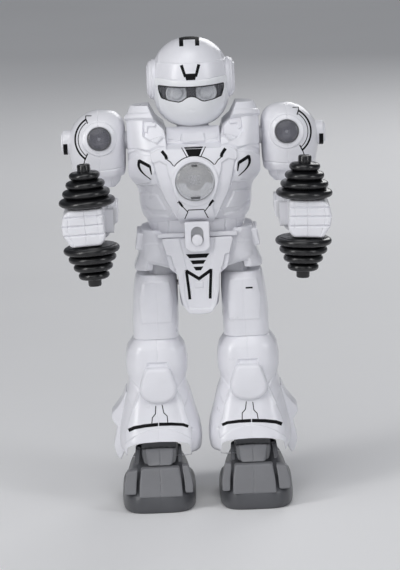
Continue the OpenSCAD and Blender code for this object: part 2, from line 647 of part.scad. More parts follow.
boot_rings = [
    [33, 2.4, 49.4, -28.2, 24, 3.6],
    [40, 2.9, 48.6, -26.6, 23, 3.6],
    [50, 4.8, 47, -24.3, 22, 3.6],
    [62, 7.6, 44.6, -22.4, 21.4, 3.6],
    [71, 9.8, 42.6, -21.6, 20.6, 3.6],
    [79, 8.6, 43.4, -21.4, 20, 3.6],
    [87, 9.2, 43, -20.4, 19, 3.4],
    [93.6, 12.4, 39.6, -17, 16.4, 3.2]
];
fin_front = [[43.6, 65], [47, 58], [53.2, 49.5], [50, 43], [52.3, 35], [52.6, 30], [49.6, 24.5], [46.6, 28.5], [45, 33.5]];
module boot() color(white) difference() {
    union() {
        loft(boot_rings, 24);
        along_y(-8, 13) polygon(fin_front);
        // skirt below the hem at the inner side and the back
        along_y(-12, 16) polygon([[2.4, 34], [2.5, 31], [5, 29.6], [6.5, 34]]);
    }
    loft([[20, 6.6, 45.2, -24.6, 20.6, 3.6], [33, 6.6, 45.2, -24.6, 20.6, 3.6], [50, 8.6, 43, -21, 18.6, 3.6], [66, 12, 40, -18, 17, 3.6], [76, 15, 37, -14, 14, 3.6]], 24);
    // arch over the instep
    along_y(-40, -5) polygon([[8, 30], [9, 34.4], [17, 36], [26, 36.4], [35, 36], [43, 34.4], [44, 30]]);
    rod_x(2.55, 0, 60, 0, ankle_z);
    block(16, 34, -11, 11, 80, 100);
}
module knee_cap() color(white) difference() {
    along_y(-26.5, -19) polygon([[20.4, 77], [17, 74], [14.8, 66], [16.4, 60], [22, 58], [30, 58], [35.6, 60], [37.2, 66], [35, 74], [31.6, 77]]);
    loft(boot_rings, 24);
}

foot_side = [[-46, 0], [-47, 4], [-46.4, 10], [-39, 19], [-30, 23.5], [-22, 31], [-13, 34], [12, 34], [17, 24], [26, 20], [30, 12], [30, 3], [29, 0]];
foot_front = [[7, 0], [48, 0], [48.4, 4], [46.6, 15], [43, 22], [38, 34], [17, 34], [12, 22], [8.4, 15], [6.6, 4]];
foot_plan = [[6.6, -34], [9, -42], [15, -47], [40, -47], [46, -42], [48.4, -34], [48.4, 22], [43, 30], [12, 30], [6.6, 22]];
roller_y = 12;
roller_z = 4.8;
module foot() color(grey) difference() {
    union() {
        intersection() {
            along_x(0, 60) polygon(foot_side);
            along_y(-60, 60) polygon(foot_front);
            translate([0, 0, -1]) linear_extrude(60) polygon(foot_plan);
        }
        along_x(19, 33) polygon([[-9, 33], [-5, 46.5], [5, 46.5], [9, 33]]);
        rod_x(2.5, 3.6, 48, 0, ankle_z);
    }
    for (x = [20, 35]) block(x - 2.8, x + 2.8, roller_y - 5.2, roller_y + 5.2, -1, roller_z + 5.2);
    rod_x(1.25, 11.8, 43.2, roller_y, roller_z);
    // hollow behind the sole plate
    sole_plate(0);
    block(12, 43, -40, 1, 1, 13);
    block(17, 38, -27, 1, 12, 21);
}
module sole_plate(g) translate([0, 0, -1]) linear_extrude(3) polygon([[10, -37], [14, -42], [41, -42], [45, -37], [45, 3], [10, 3]]);
module foot_sole() color(grey) intersection() {
    sole_plate(0);
    block(0, 60, -60, 60, 0, 10);
}
module foot_roller() color(black) {
    rod_x(1.2, 12, 43, roller_y, roller_z);
    for (x = [20, 35]) rod_x(roller_r, x - 2.2, x + 2.2, roller_y, roller_z);
}

// ---------- assembly ----------

module place() translate([0, y_shift, 0]) children();

place() chest_front();
place() chest_back();
place() collar();
place() chest_lens();
place() circuit_boards();
place() waist_band();
place() pelvis_front();
place() pelvis_back();
place() crotch_plate();
place() switch_plate();
place() switch_body();
place() hip_guards();
place() speaker();
place() battery_box();
place() batteries();
place() battery_contacts();
place() screws();
place() gearbox_frame();
place() motor();
place() hip_pins();
place() wiring();
place() switch_knob();
place() battery_door();
place() door_screw();
place() motor_pinion();
place() first_gear();
place() second_gear();
place() crankshaft();
place() helmet();
place() face_guard();
place() visor();
place() eye_reflectors();
place() ear_caps();
place() neck_post();
place() side(1) shoulder_inner();  // shoulder_inner_left
place() side(1) shoulder_outer();  // shoulder_outer_left
place() side(1) shoulder_lens();  // shoulder_lens_left
place() side(1) upper_arm();  // upper_arm_left
place() side(1) forearm();  // forearm_left
place() side(1) dumbbell_top();  // dumbbell_top_left
place() side(1) dumbbell_bottom();  // dumbbell_bottom_left
place() side(-1) shoulder_inner();  // shoulder_inner_right
place() side(-1) shoulder_outer();  // shoulder_outer_right
place() side(-1) shoulder_lens();  // shoulder_lens_right
place() side(-1) upper_arm();  // upper_arm_right
place() side(-1) forearm();  // forearm_right
place() side(-1) dumbbell_top();  // dumbbell_top_right
place() side(-1) dumbbell_bottom();  // dumbbell_bottom_right
place() side(1) thigh();  // thigh_left
place() side(1) boot();  // boot_left
place() side(1) knee_cap();  // knee_cap_left
place() side(1) foot();  // foot_left
place() side(1) foot_sole();  // foot_sole_left
place() side(1) foot_roller();  // foot_roller_left
place() side(-1) thigh();  // thigh_right
place() side(-1) boot();  // boot_right
place() side(-1) knee_cap();  // knee_cap_right
place() side(-1) foot();  // foot_right
place() side(-1) foot_sole();  // foot_sole_right
place() side(-1) foot_roller();  // foot_roller_right
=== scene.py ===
import bpy, bmesh, math
import numpy as np
from mathutils import Vector, Matrix
from mathutils.bvhtree import BVHTree


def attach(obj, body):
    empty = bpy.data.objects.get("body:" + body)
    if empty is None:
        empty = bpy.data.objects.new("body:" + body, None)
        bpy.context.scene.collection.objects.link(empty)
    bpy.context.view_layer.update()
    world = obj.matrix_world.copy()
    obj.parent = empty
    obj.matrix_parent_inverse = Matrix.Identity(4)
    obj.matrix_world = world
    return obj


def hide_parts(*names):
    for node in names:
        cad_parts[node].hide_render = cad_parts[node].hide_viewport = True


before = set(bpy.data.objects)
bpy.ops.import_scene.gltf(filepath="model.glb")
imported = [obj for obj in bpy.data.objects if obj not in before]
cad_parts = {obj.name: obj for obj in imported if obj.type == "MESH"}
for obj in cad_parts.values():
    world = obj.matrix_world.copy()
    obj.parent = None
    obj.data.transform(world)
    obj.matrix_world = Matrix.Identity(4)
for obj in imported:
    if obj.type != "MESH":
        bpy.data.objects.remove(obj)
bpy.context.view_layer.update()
YS = 18.0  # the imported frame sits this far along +Y from the working frame, in mm
E = math.radians(10.0)
SE, CE = math.sin(E), math.cos(E)


# ------------------------------------------------------------------ numbers
def U_of(P):
    return CE * P[..., 2] + SE * P[..., 1]


def zu(u, y=0.0):
    return (u - SE * y) / CE


def sstep(t):
    t = np.clip(t, 0, 1)
    return t * t * (3 - 2 * t)


def sd_poly(x, u, pts):
    """Signed distance to a polygon, positive inside."""
    x = np.asarray(x, float)
    u = np.asarray(u, float)
    n = len(pts)
    d = np.full(x.shape, 1e18)
    inside = np.zeros(x.shape, bool)
    for i in range(n):
        ax, ay = pts[i]
        bx, by = pts[(i + 1) % n]
        ex, ey = bx - ax, by - ay
        wx, wy = x - ax, u - ay
        t = np.clip((wx * ex + wy * ey) / (ex * ex + ey * ey + 1e-12), 0, 1)
        d = np.minimum(d, (wx - ex * t) ** 2 + (wy - ey * t) ** 2)
        c = ((ay > u) != (by > u)) & (x < (bx - ax) * (u - ay) / (by - ay + 1e-15) + ax)
        inside ^= c
    d = np.sqrt(d)
    return np.where(inside, d, -d)


def d_line(x, u, pts):
    """Distance to a polyline."""
    d = np.full(np.shape(x), 1e18)
    for i in range(len(pts) - 1):
        ax, ay = pts[i]
        bx, by = pts[i + 1]
        ex, ey = bx - ax, by - ay
        wx, wy = x - ax, u - ay
        t = np.clip((wx * ex + wy * ey) / (ex * ex + ey * ey + 1e-12), 0, 1)
        d = np.minimum(d, (wx - ex * t) ** 2 + (wy - ey * t) ** 2)
    return np.sqrt(d)


def plate(x, u, pts, h, w=0.7):
    """A plateau of height h inside a polygon, with a ramp w wide."""
    return h * sstep(0.5 + sd_poly(x, u, pts) / w)


def groove(x, u, pts, depth, w=0.5):
    """A V groove along a polyline."""
    d = d_line(x, u, pts)
    return -depth * sstep(1 - d / w)


def msym(pts):
    """A polygon on the left half, closed with its mirror image."""
    return list(pts) + [(-a, b) for a, b in reversed(pts)]


def mir(pts, s):
    return [(s * a, b) for a, b in pts]


def pchip(xk, yk, x):
    xk = np.asarray(xk, float)
    yk = np.asarray(yk, float)
    h = np.diff(xk)
    dlt = np.diff(yk) / h
    m = np.zeros(len(xk))
    for i in range(1, len(xk) - 1):
        if dlt[i - 1] * dlt[i] > 0:
            w1, w2 = 2 * h[i] + h[i - 1], h[i] + 2 * h[i - 1]
            m[i] = (w1 + w2) / (w1 / dlt[i - 1] + w2 / dlt[i])
    m[0], m[-1] = dlt[0], dlt[-1]
    i = np.clip(np.searchsorted(xk, x) - 1, 0, len(h) - 1)
    t = (x - xk[i]) / h[i]
    return (
        (2 * t**3 - 3 * t**2 + 1) * yk[i]
        + (t**3 - 2 * t**2 + t) * h[i] * m[i]
        + (-2 * t**3 + 3 * t**2) * yk[i + 1]
        + (t**3 - t**2) * h[i] * m[i + 1]
    )


def rpoly(pts, r, k=4):
    """Rounds the corners of a polygon."""
    pts = [p for i, p in enumerate(pts) if math.dist(p, pts[i - 1]) > 1e-6]
    out = []
    n = len(pts)
    for i in range(n):
        p0, p1, p2 = np.array(pts[i - 1], float), np.array(pts[i], float), np.array(pts[(i + 1) % n], float)
        a, b = p0 - p1, p2 - p1
        la, lb = np.linalg.norm(a), np.linalg.norm(b)
        q = min(r, la * 0.45, lb * 0.45)
        s, e = p1 + a / la * q, p1 + b / lb * q
        for j in range(k + 1):
            t = j / k
            out.append(tuple((1 - t) ** 2 * s + 2 * t * (1 - t) * p1 + t * t * e))
    return out


def dense(pts, ds, closed=True):
    out = []
    n = len(pts)
    for i in range(n if closed else n - 1):
        a, b = np.array(pts[i], float), np.array(pts[(i + 1) % n], float)
        k = max(1, int(math.ceil(np.linalg.norm(b - a) / ds)))
        for j in range(k):
            out.append(tuple(a + (b - a) * j / k))
    if not closed:
        out.append(tuple(pts[-1]))
    return out


# ------------------------------------------------------------------ meshes
class Geo:
    def __init__(self, v, f):
        self.v = np.asarray(v, float).reshape(-1, 3)
        self.f = [tuple(int(i) for i in q) for q in f]

    def join(self, other):
        n = len(self.v)
        return Geo(np.vstack([self.v, other.v]), self.f + [tuple(i + n for i in q) for q in other.f])

    def mirror(self):
        return Geo(self.v * np.array([-1, 1, 1]), [tuple(reversed(q)) for q in self.f])

    def moved(self, m):
        m = np.array(m)
        return Geo(self.v @ m[:3, :3].T + m[:3, 3], self.f)


def mesh_of(geo, name="tmp"):
    me = bpy.data.meshes.new(name)
    me.from_pydata([tuple(p) for p in geo.v], [], geo.f)
    me.validate()
    return me


def geo_of(me):
    v = np.zeros(len(me.vertices) * 3)
    me.vertices.foreach_get("co", v)
    return Geo(v.reshape(-1, 3), [tuple(p.vertices) for p in me.polygons])


def outward(geo):
    """Turns every face of a closed mesh to face out."""
    me = mesh_of(geo)
    bm = bmesh.new()
    bm.from_mesh(me)
    bmesh.ops.recalc_face_normals(bm, faces=bm.faces)
    bm.to_mesh(me)
    bm.free()
    g = geo_of(me)
    bpy.data.meshes.remove(me)
    return g


def boolean(a, b, op="DIFFERENCE", solver="MANIFOLD"):
    oa = bpy.data.objects.new("tmp_a", mesh_of(a))
    ob = bpy.data.objects.new("tmp_b", mesh_of(b))
    for o in (oa, ob):
        bpy.context.scene.collection.objects.link(o)
    md = oa.modifiers.new("b", "BOOLEAN")
    md.object = ob
    md.operation = op
    md.solver = solver
    dg = bpy.context.evaluated_depsgraph_get()
    me = bpy.data.meshes.new_from_object(oa.evaluated_get(dg))
    g = geo_of(me)
    for o in (oa, ob):
        m = o.data
        bpy.data.objects.remove(o)
        bpy.data.meshes.remove(m)
    bpy.data.meshes.remove(me)
    if len(g.v) == 0 and solver == "MANIFOLD":
        print("boolean fell back", len(a.v), len(b.v))
        return boolean(a, b, op, "EXACT")
    return g


def cut(a, *bs):
    for b in bs:
        a = boolean(a, b)
    return a


def split_y(geo, y0=0.0):
    """The part in front of y0, and the part behind it."""
    out = []
    for sgn in (1, -1):
        me = mesh_of(geo)
        bm = bmesh.new()
        bm.from_mesh(me)
        r = bmesh.ops.bisect_plane(bm, geom=bm.verts[:] + bm.edges[:] + bm.faces[:], dist=1e-5, plane_co=(0, y0, 0), plane_no=(0, sgn, 0), clear_outer=True)
        edges = [e for e in r["geom_cut"] if isinstance(e, bmesh.types.BMEdge)]
        bm.to_mesh(me)
        bm.free()
        out.append(geo_of(me))
        bpy.data.meshes.remove(me)
    return out


def emit(name, geo, material, body, nodes=(), sharp=30, smooth=True, bevel=0.0):
    v = (geo.v + np.array([0, YS, 0])) / 1000.0
    me = bpy.data.meshes.new(name)
    me.from_pydata([tuple(p) for p in v], [], geo.f)
    me.validate()
    ob = bpy.data.objects.new(name, me)
    bpy.context.scene.collection.objects.link(ob)
    if smooth:
        me.polygons.foreach_set("use_smooth", [True] * len(me.polygons))
        me.set_sharp_from_angle(angle=math.radians(sharp))
    if bevel:
        md = ob.modifiers.new("bevel", "BEVEL")
        md.width = bevel / 1000.0
        md.segments = 2
        md.limit_method = "ANGLE"
        md.angle_limit = math.radians(35)
        md.harden_normals = True
    me.materials.append(material)
    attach(ob, body)
    if nodes:
        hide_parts(*nodes)
    return ob


def bvh(*geos):
    g = geos[0]
    for q in geos[1:]:
        g = g.join(q)
    return BVHTree.FromPolygons([tuple(p) for p in g.v], g.f)


# ring of a loft: two half superellipses in front of and behind y = 0
def loft(keys, nz, nt, relief=None, warp=None, zs=None, front_share=0.68, caps=True):
    """keys: (z, x0, x1, yf, yb, nf, nb) from low to high z."""
    keys = sorted(keys)
    K = np.array([list(k[:7]) for k in keys], float)
    z = np.asarray(zs, float) if zs is not None else np.linspace(K[0, 0], K[-1, 0], nz)
    cols = [pchip(K[:, 0], K[:, j], z) for j in range(1, 7)]
    nf = int(nt * front_share / 2) * 2
    nb = nt - nf
    rows = []
    for i in range(len(z)):
        x0, x1, yf, yb, pf, pb = [c[i] for c in cols]
        xc, hx = (x0 + x1) / 2, (x1 - x0) / 2
        halves = []
        for (yy, p, n) in ((yf, pf, nf), (yb, pb, nb)):
            t = np.linspace(0, math.pi, 700)
            c, s = np.cos(t), np.sin(t)
            X = xc + hx * np.sign(c) * np.abs(c) ** (2 / p)
            Y = yy * np.abs(s) ** (2 / p)
            L = np.concatenate([[0], np.cumsum(np.hypot(np.diff(X), np.diff(Y)))])
            q = np.linspace(0, L[-1], n + 1)
            halves.append((np.interp(q, L, X), np.interp(q, L, Y)))
        fx, fy = halves[0]
        bx, by = halves[1]
        X = np.concatenate([fx[:-1], bx[::-1][:-1]])
        Y = np.concatenate([fy[:-1], by[::-1][:-1]])
        rows.append(np.stack([X, Y, np.full(len(X), z[i])], 1))
    P = np.array(rows)
    m, n = P.shape[:2]
    if warp is not None:
        P = warp(P)
    if relief is not None:
        du = np.roll(P, -1, 1) - np.roll(P, 1, 1)
        dv = np.empty_like(P)
        dv[1:-1] = P[2:] - P[:-2]
        dv[0] = P[1] - P[0]
        dv[-1] = P[-1] - P[-2]
        N = np.cross(dv, du)
        N /= np.linalg.norm(N, axis=2, keepdims=True) + 1e-12
        # the normal must point away from the axis
        c = P.mean(1, keepdims=True)
        sgn = np.sign(np.sum(N * (P - c) * [1, 1, 0], 2).sum())
        N *= sgn
        w = sstep((-N[..., 1] - 0.05) / 0.25)
        h = relief(P[..., 0], U_of(P), P)
        P = P + N * (h * w)[..., None]
    v = P.reshape(-1, 3)
    f = []
    for i in range(m - 1):
        a = i * n
        for j in range(n):
            k = (j + 1) % n
            f.append((a + j, a + k, a + n + k, a + n + j))
    v = list(map(tuple, v))
    if caps:
        v.append(tuple(P[0].mean(0)))
        v.append(tuple(P[-1].mean(0)))
        lo, hi = len(v) - 2, len(v) - 1
        for j in range(n):
            k = (j + 1) % n
            f.append((k, j, lo))
            f.append(((m - 1) * n + j, (m - 1) * n + k, hi))
    return outward(Geo(v, f))


def pillow(outline, yf, yb, r=0.6, relief=None, centre=None, ds=0.6, rings=10, rc=1.0, slope=(0, 0), bulge=0.0):
    """A plate with an (x, z) outline, its rounded face at yf and its back at yb. slope tilts the face: dy per x and per z from the centre."""
    o = np.array(dense(rpoly(outline, rc), ds))
    c = np.array(centre if centre is not None else o.mean(0), float)
    rad = np.linalg.norm(o - c, axis=1)
    ins = [0.0, 0.12 * r, 0.35 * r, 0.65 * r, r]
    rho = [1 - d / rad for d in ins]
    base = 1 - r / rad
    for k in range(1, rings):
        rho.append(base * (1 - k / rings))
    rows = []
    for k, q in enumerate(rho):
        X = c[0] + (o[:, 0] - c[0]) * q
        Z = c[1] + (o[:, 1] - c[1]) * q
        d = ins[k] if k < len(ins) else r
        Y = np.full(len(X), yf + r - math.sqrt(max(0, r * r - (r - d) ** 2)))
        Y = Y + slope[0] * (X - c[0]) + slope[1] * (Z - c[1]) - bulge * (1 - np.clip(q, 0, 1) ** 2)
        P = np.stack([X, Y, Z], 1)
        if relief is not None and k >= 2:
            P[:, 1] -= relief(P[:, 0], U_of(P), P)
        rows.append(P)
    n = len(o)
    back = np.stack([o[:, 0], np.full(n, float(yb)), o[:, 1]], 1)
    v = [tuple(p) for p in back]
    for P in rows:
        v += [tuple(p) for p in P]
    m = len(rows) + 1
    f = []
    for i in range(m - 1):
        for j in range(n):
            k = (j + 1) % n
            f.append((i * n + j, i * n + k, (i + 1) * n + k, (i + 1) * n + j))
    cy = rows[-1][:, 1].mean()
    v += [(c[0], cy, c[1]), (c[0], float(yb), c[1])]
    for j in range(n):
        k = (j + 1) % n
        f.append(((m - 1) * n + j, (m - 1) * n + k, len(v) - 2))
        f.append((k, j, len(v) - 1))
    return outward(Geo(v, f))


def prism_view(pts, y0, y1, dense_ds=None):
    """A prism along the view direction over an (X, U) outline, from depth y0 to y1."""
    if dense_ds:
        pts = dense(pts, dense_ds)
    n = len(pts)
    v = [(a, y0, zu(b, y0)) for a, b in pts] + [(a, y1, zu(b, y1)) for a, b in pts]
    f = [tuple(range(n)), tuple(range(2 * n - 1, n - 1, -1))]
    f += [(i, i + n, (i + 1) % n + n, (i + 1) % n) for i in range(n)]
    return outward(Geo(v, f))


def prism(pts, axis, a, b):
    """A prism of a 2-D outline: axis 'x' takes (y, z), 'y' takes (x, z), 'z' takes (x, y)."""
    n = len(pts)
    put = {"x": lambda t, p: (t, p[0], p[1]), "y": lambda t, p: (p[0], t, p[1]), "z": lambda t, p: (p[0], p[1], t)}[axis]
    v = [put(a, p) for p in pts] + [put(b, p) for p in pts]
    f = [tuple(range(n)), tuple(range(2 * n - 1, n - 1, -1))]
    f += [(i, i + n, (i + 1) % n + n, (i + 1) % n) for i in range(n)]
    return outward(Geo(v, f))


def lathe(profile, n=96, centre=(0, 0, 0), direction=(0, 0, 1)):
    """Turns an (r, h) outline about an axis."""
    v, f = [], []
    k = len(profile)
    for (r, h) in profile:
        for j in range(n):
            a = 2 * math.pi * j / n
            v.append((r * math.cos(a), r * math.sin(a), h))
    for i in range(k - 1):
        for j in range(n):
            q = (j + 1) % n
            f.append((i * n + j, i * n + q, (i + 1) * n + q, (i + 1) * n + j))
    v += [(0, 0, profile[0][1]), (0, 0, profile[-1][1])]
    for j in range(n):
        q = (j + 1) % n
        f.append((q, j, len(v) - 2))
        f.append(((k - 1) * n + j, (k - 1) * n + q, len(v) - 1))
    d = Vector(direction).normalized()
    rot = d.to_track_quat("Z", "Y").to_matrix().to_4x4()
    m = Matrix.Translation(Vector(centre)) @ rot
    return outward(Geo(v, f)).moved(m)


def rounded(profile, r, k=4):
    """Rounds the corners of an open (r, h) outline."""
    out = [profile[0]]
    for i in range(1, len(profile) - 1):
        p0, p1, p2 = (np.array(profile[i + d], float) for d in (-1, 0, 1))
        a, b = p0 - p1, p2 - p1
        la, lb = np.linalg.norm(a), np.linalg.norm(b)
        q = min(r, la * 0.45, lb * 0.45)
        s, e = p1 + a / la * q, p1 + b / lb * q
        for j in range(k + 1):
            t = j / k
            out.append(tuple((1 - t) ** 2 * s + 2 * t * (1 - t) * p1 + t * t * e))
    out.append(profile[-1])
    return out


# ------------------------------------------------------------------ printed marks
VIEW = Vector((0, CE, -SE))


def project(tree, x, u, off=0.06, start=-120.0):
    o = Vector((x, start, zu(u, start)))
    hit, nrm, idx, dist = tree.ray_cast(o, VIEW)
    if hit is None:
        return None
    if nrm.dot(VIEW) > 0:
        nrm = -nrm
    return hit + nrm * off


def patch_grid(tree, G, off=0.06):
    """G: rows of (x, u) points. Returns the projected quads that hit."""
    v, idx, f = [], {}, []
    for i, row in enumerate(G):
        for j, (x, u) in enumerate(row):
            p = project(tree, x, u, off)
            if p is not None:
                idx[(i, j)] = len(v)
                v.append(tuple(p))
    for i in range(len(G) - 1):
        for j in range(len(G[0]) - 1):
            q = [(i, j), (i + 1, j), (i + 1, j + 1), (i, j + 1)]
            if all(k in idx for k in q):
                ids = [idx[k] for k in q]
                P = np.array([v[k] for k in ids])
                if np.ptp(P[:, 1]) < 2.5:
                    f.append(tuple(ids))
    return Geo(v, f)


def ribbon(tree, pts, w, off=0.06, ds=0.35, closed=False, w2=None, rc=0.0):
    """A line of width w along (x, u) points."""
    if rc:
        q = [pts[0]]
        for i in range(1, len(pts) - 1):
            p0, p1, p2 = (np.array(pts[i + d], float) for d in (-1, 0, 1))
            a, b = p0 - p1, p2 - p1
            la, lb = np.linalg.norm(a), np.linalg.norm(b)
            r = min(rc, la * 0.45, lb * 0.45)
            s, e = p1 + a / la * r, p1 + b / lb * r
            for j in range(4):
                t = j / 3
                q.append(tuple((1 - t) ** 2 * s + 2 * t * (1 - t) * p1 + t * t * e))
        q.append(pts[-1])
        pts = q
    P = [np.array(p, float) for p in pts]
    n = len(P)
    nrm = []
    for i in range(n):
        d0 = P[i] - P[i - 1] if (i > 0 or closed) else P[1] - P[0]
        d1 = P[(i + 1) % n] - P[i] if (i < n - 1 or closed) else P[-1] - P[-2]
        d0 = d0 / (np.linalg.norm(d0) + 1e-12)
        d1 = d1 / (np.linalg.norm(d1) + 1e-12)
        n0, n1 = np.array([-d0[1], d0[0]]), np.array([-d1[1], d1[0]])
        b = n0 + n1
        b = b / (np.linalg.norm(b) + 1e-12)
        k = 1 / max(0.45, float(b @ n0))
        nrm.append(b * k)
    rows = []
    last = n if closed else n - 1
    for i in range(last):
        a, b = P[i], P[(i + 1) % n]
        na, nb = nrm[i], nrm[(i + 1) % n]
        k = max(1, int(np.linalg.norm(b - a) / ds))
        for j in range(k + (1 if i == last - 1 else 0)):
            t = j / k
            c = a + (b - a) * t
            m = na + (nb - na) * t
            ww = w if w2 is None else w + (w2 - w) * ((i + t) / last)
            rows.append([tuple(c + m * ww * s) for s in (-0.5, -0.17, 0.17, 0.5)])
    return patch_grid(tree, rows, off)


def quad(tree, a, b, c, d, off=0.06, ds=0.35):
    """A filled patch with corners a, b (one side) and d, c (the other)."""
    a, b, c, d = (np.array(p, float) for p in (a, b, c, d))
    m = max(1, int(max(np.linalg.norm(b - a), np.linalg.norm(c - d)) / ds))
    n = max(1, int(max(np.linalg.norm(d - a), np.linalg.norm(c - b)) / ds))
    G = []
    for i in range(m + 1):
        s = i / m
        p, q = a + (b - a) * s, d + (c - d) * s
        G.append([tuple(p + (q - p) * (j / n)) for j in range(n + 1)])
    return patch_grid(tree, G, off)


def arc_pts(cx, cu, r, a0, a1, n=32):
    return [(cx + r * math.cos(math.radians(a0 + (a1 - a0) * i / n)), cu + r * math.sin(math.radians(a0 + (a1 - a0) * i / n))) for i in range(n + 1)]


def merge(gs):
    g = gs[0]
    for q in gs[1:]:
        g = g.join(q)
    return g


# ------------------------------------------------------------------ materials
def new_mat(name):
    m = bpy.data.materials.new(name)
    m.use_nodes = True
    nt = m.node_tree
    return m, nt, nt.nodes["Principled BSDF"]


def plastic(name, col, rough=0.34, var=0.02, grain=0.00004, grain_scale=1800, coat=0.0, spec=0.5, blotch=90, sss=0.0, edge=0.0):
    m, nt, b = new_mat(name)
    tc = nt.nodes.new("ShaderNodeTexCoord")
    n1 = nt.nodes.new("ShaderNodeTexNoise")
    n1.inputs["Scale"].default_value = blotch
    n1.inputs["Detail"].default_value = 4
    nt.links.new(tc.outputs["Object"], n1.inputs["Vector"])
    r1 = nt.nodes.new("ShaderNodeValToRGB")
    r1.color_ramp.elements[0].position = 0.3
    r1.color_ramp.elements[1].position = 0.7
    r1.color_ramp.elements[0].color = tuple(c * (1 - var) for c in col) + (1,)
    r1.color_ramp.elements[1].color = tuple(min(1, c * (1 + var)) for c in col) + (1,)
    nt.links.new(n1.outputs["Fac"], r1.inputs["Fac"])
    nt.links.new(r1.outputs["Color"], b.inputs["Base Color"])
    n2 = nt.nodes.new("ShaderNodeTexNoise")
    n2.inputs["Scale"].default_value = grain_scale
    n2.inputs["Detail"].default_value = 3
    nt.links.new(tc.outputs["Object"], n2.inputs["Vector"])
    mr = nt.nodes.new("ShaderNodeMapRange")
    mr.inputs["From Min"].default_value = 0.25
    mr.inputs["From Max"].default_value = 0.75
    mr.inputs["To Min"].default_value = rough * 0.88
    mr.inputs["To Max"].default_value = rough * 1.12
    nt.links.new(n1.outputs["Fac"], mr.inputs["Value"])
    nt.links.new(mr.outputs["Result"], b.inputs["Roughness"])
    bp = nt.nodes.new("ShaderNodeBump")
    bp.inputs["Strength"].default_value = 0.35
    bp.inputs["Distance"].default_value = grain
    nt.links.new(n2.outputs["Fac"], bp.inputs["Height"])
    nt.links.new(bp.outputs["Normal"], b.inputs["Normal"])
    b.inputs["Specular IOR Level"].default_value = spec
    b.inputs["Coat Weight"].default_value = coat
    b.inputs["Coat Roughness"].default_value = 0.12
    if sss:
        b.inputs["Subsurface Weight"].default_value = sss
        b.inputs["Subsurface Scale"].default_value = 0.0015
        b.inputs["Subsurface Radius"].default_value = (1.0, 1.0, 1.05)
    return m


def metal(name, col, rough=0.3, scale=700, aniso=0.4):
    m, nt, b = new_mat(name)
    tc = nt.nodes.new("ShaderNodeTexCoord")
    mp = nt.nodes.new("ShaderNodeMapping")
    mp.inputs["Scale"].default_value = (1, 12, 12)
    n = nt.nodes.new("ShaderNodeTexNoise")
    n.inputs["Scale"].default_value = scale
    n.inputs["Detail"].default_value = 5
    nt.links.new(tc.outputs["Object"], mp.inputs["Vector"])
    nt.links.new(mp.outputs["Vector"], n.inputs["Vector"])
    r = nt.nodes.new("ShaderNodeValToRGB")
    r.color_ramp.elements[0].position = 0.3
    r.color_ramp.elements[1].position = 0.7
    r.color_ramp.elements[0].color = tuple(c * 0.85 for c in col) + (1,)
    r.color_ramp.elements[1].color = tuple(min(1, c * 1.1) for c in col) + (1,)
    nt.links.new(n.outputs["Fac"], r.inputs["Fac"])
    nt.links.new(r.outputs["Color"], b.inputs["Base Color"])
    b.inputs["Metallic"].default_value = 1.0
    mr = nt.nodes.new("ShaderNodeMapRange")
    mr.inputs["To Min"].default_value = rough * 0.8
    mr.inputs["To Max"].default_value = rough * 1.3
    nt.links.new(n.outputs["Fac"], mr.inputs["Value"])
    nt.links.new(mr.outputs["Result"], b.inputs["Roughness"])
    return m


def lens_mat(name, col, alpha_mix=0.6, rough=0.08, tint=(1, 1, 1)):
    """A moulded lens: part see-through tint, part gloss, with faint clouding."""
    m = bpy.data.materials.new(name)
    m.use_nodes = True
    nt = m.node_tree
    nt.nodes.clear()
    out = nt.nodes.new("ShaderNodeOutputMaterial")
    tr = nt.nodes.new("ShaderNodeBsdfTransparent")
    tr.inputs["Color"].default_value = tuple(tint) + (1,)
    pr = nt.nodes.new("ShaderNodeBsdfPrincipled")
    pr.inputs["Roughness"].default_value = rough
    pr.inputs["Coat Weight"].default_value = 0.5
    tc = nt.nodes.new("ShaderNodeTexCoord")
    n = nt.nodes.new("ShaderNodeTexNoise")
    n.inputs["Scale"].default_value = 160
    n.inputs["Detail"].default_value = 3
    nt.links.new(tc.outputs["Object"], n.inputs["Vector"])
    r = nt.nodes.new("ShaderNodeValToRGB")
    r.color_ramp.elements[0].position = 0.35
    r.color_ramp.elements[1].position = 0.65
    r.color_ramp.elements[0].color = tuple(c * 0.9 for c in col) + (1,)
    r.color_ramp.elements[1].color = tuple(min(1, c * 1.1) for c in col) + (1,)
    nt.links.new(n.outputs["Fac"], r.inputs["Fac"])
    nt.links.new(r.outputs["Color"], pr.inputs["Base Color"])
    mr = nt.nodes.new("ShaderNodeMapRange")
    mr.inputs["To Min"].default_value = alpha_mix - 0.04
    mr.inputs["To Max"].default_value = alpha_mix + 0.04
    nt.links.new(n.outputs["Fac"], mr.inputs["Value"])
    mx = nt.nodes.new("ShaderNodeMixShader")
    nt.links.new(mr.outputs["Result"], mx.inputs["Fac"])
    nt.links.new(pr.outputs["BSDF"], mx.inputs[1])
    nt.links.new(tr.outputs["BSDF"], mx.inputs[2])
    nt.links.new(mx.outputs["Shader"], out.inputs["Surface"])
    return m


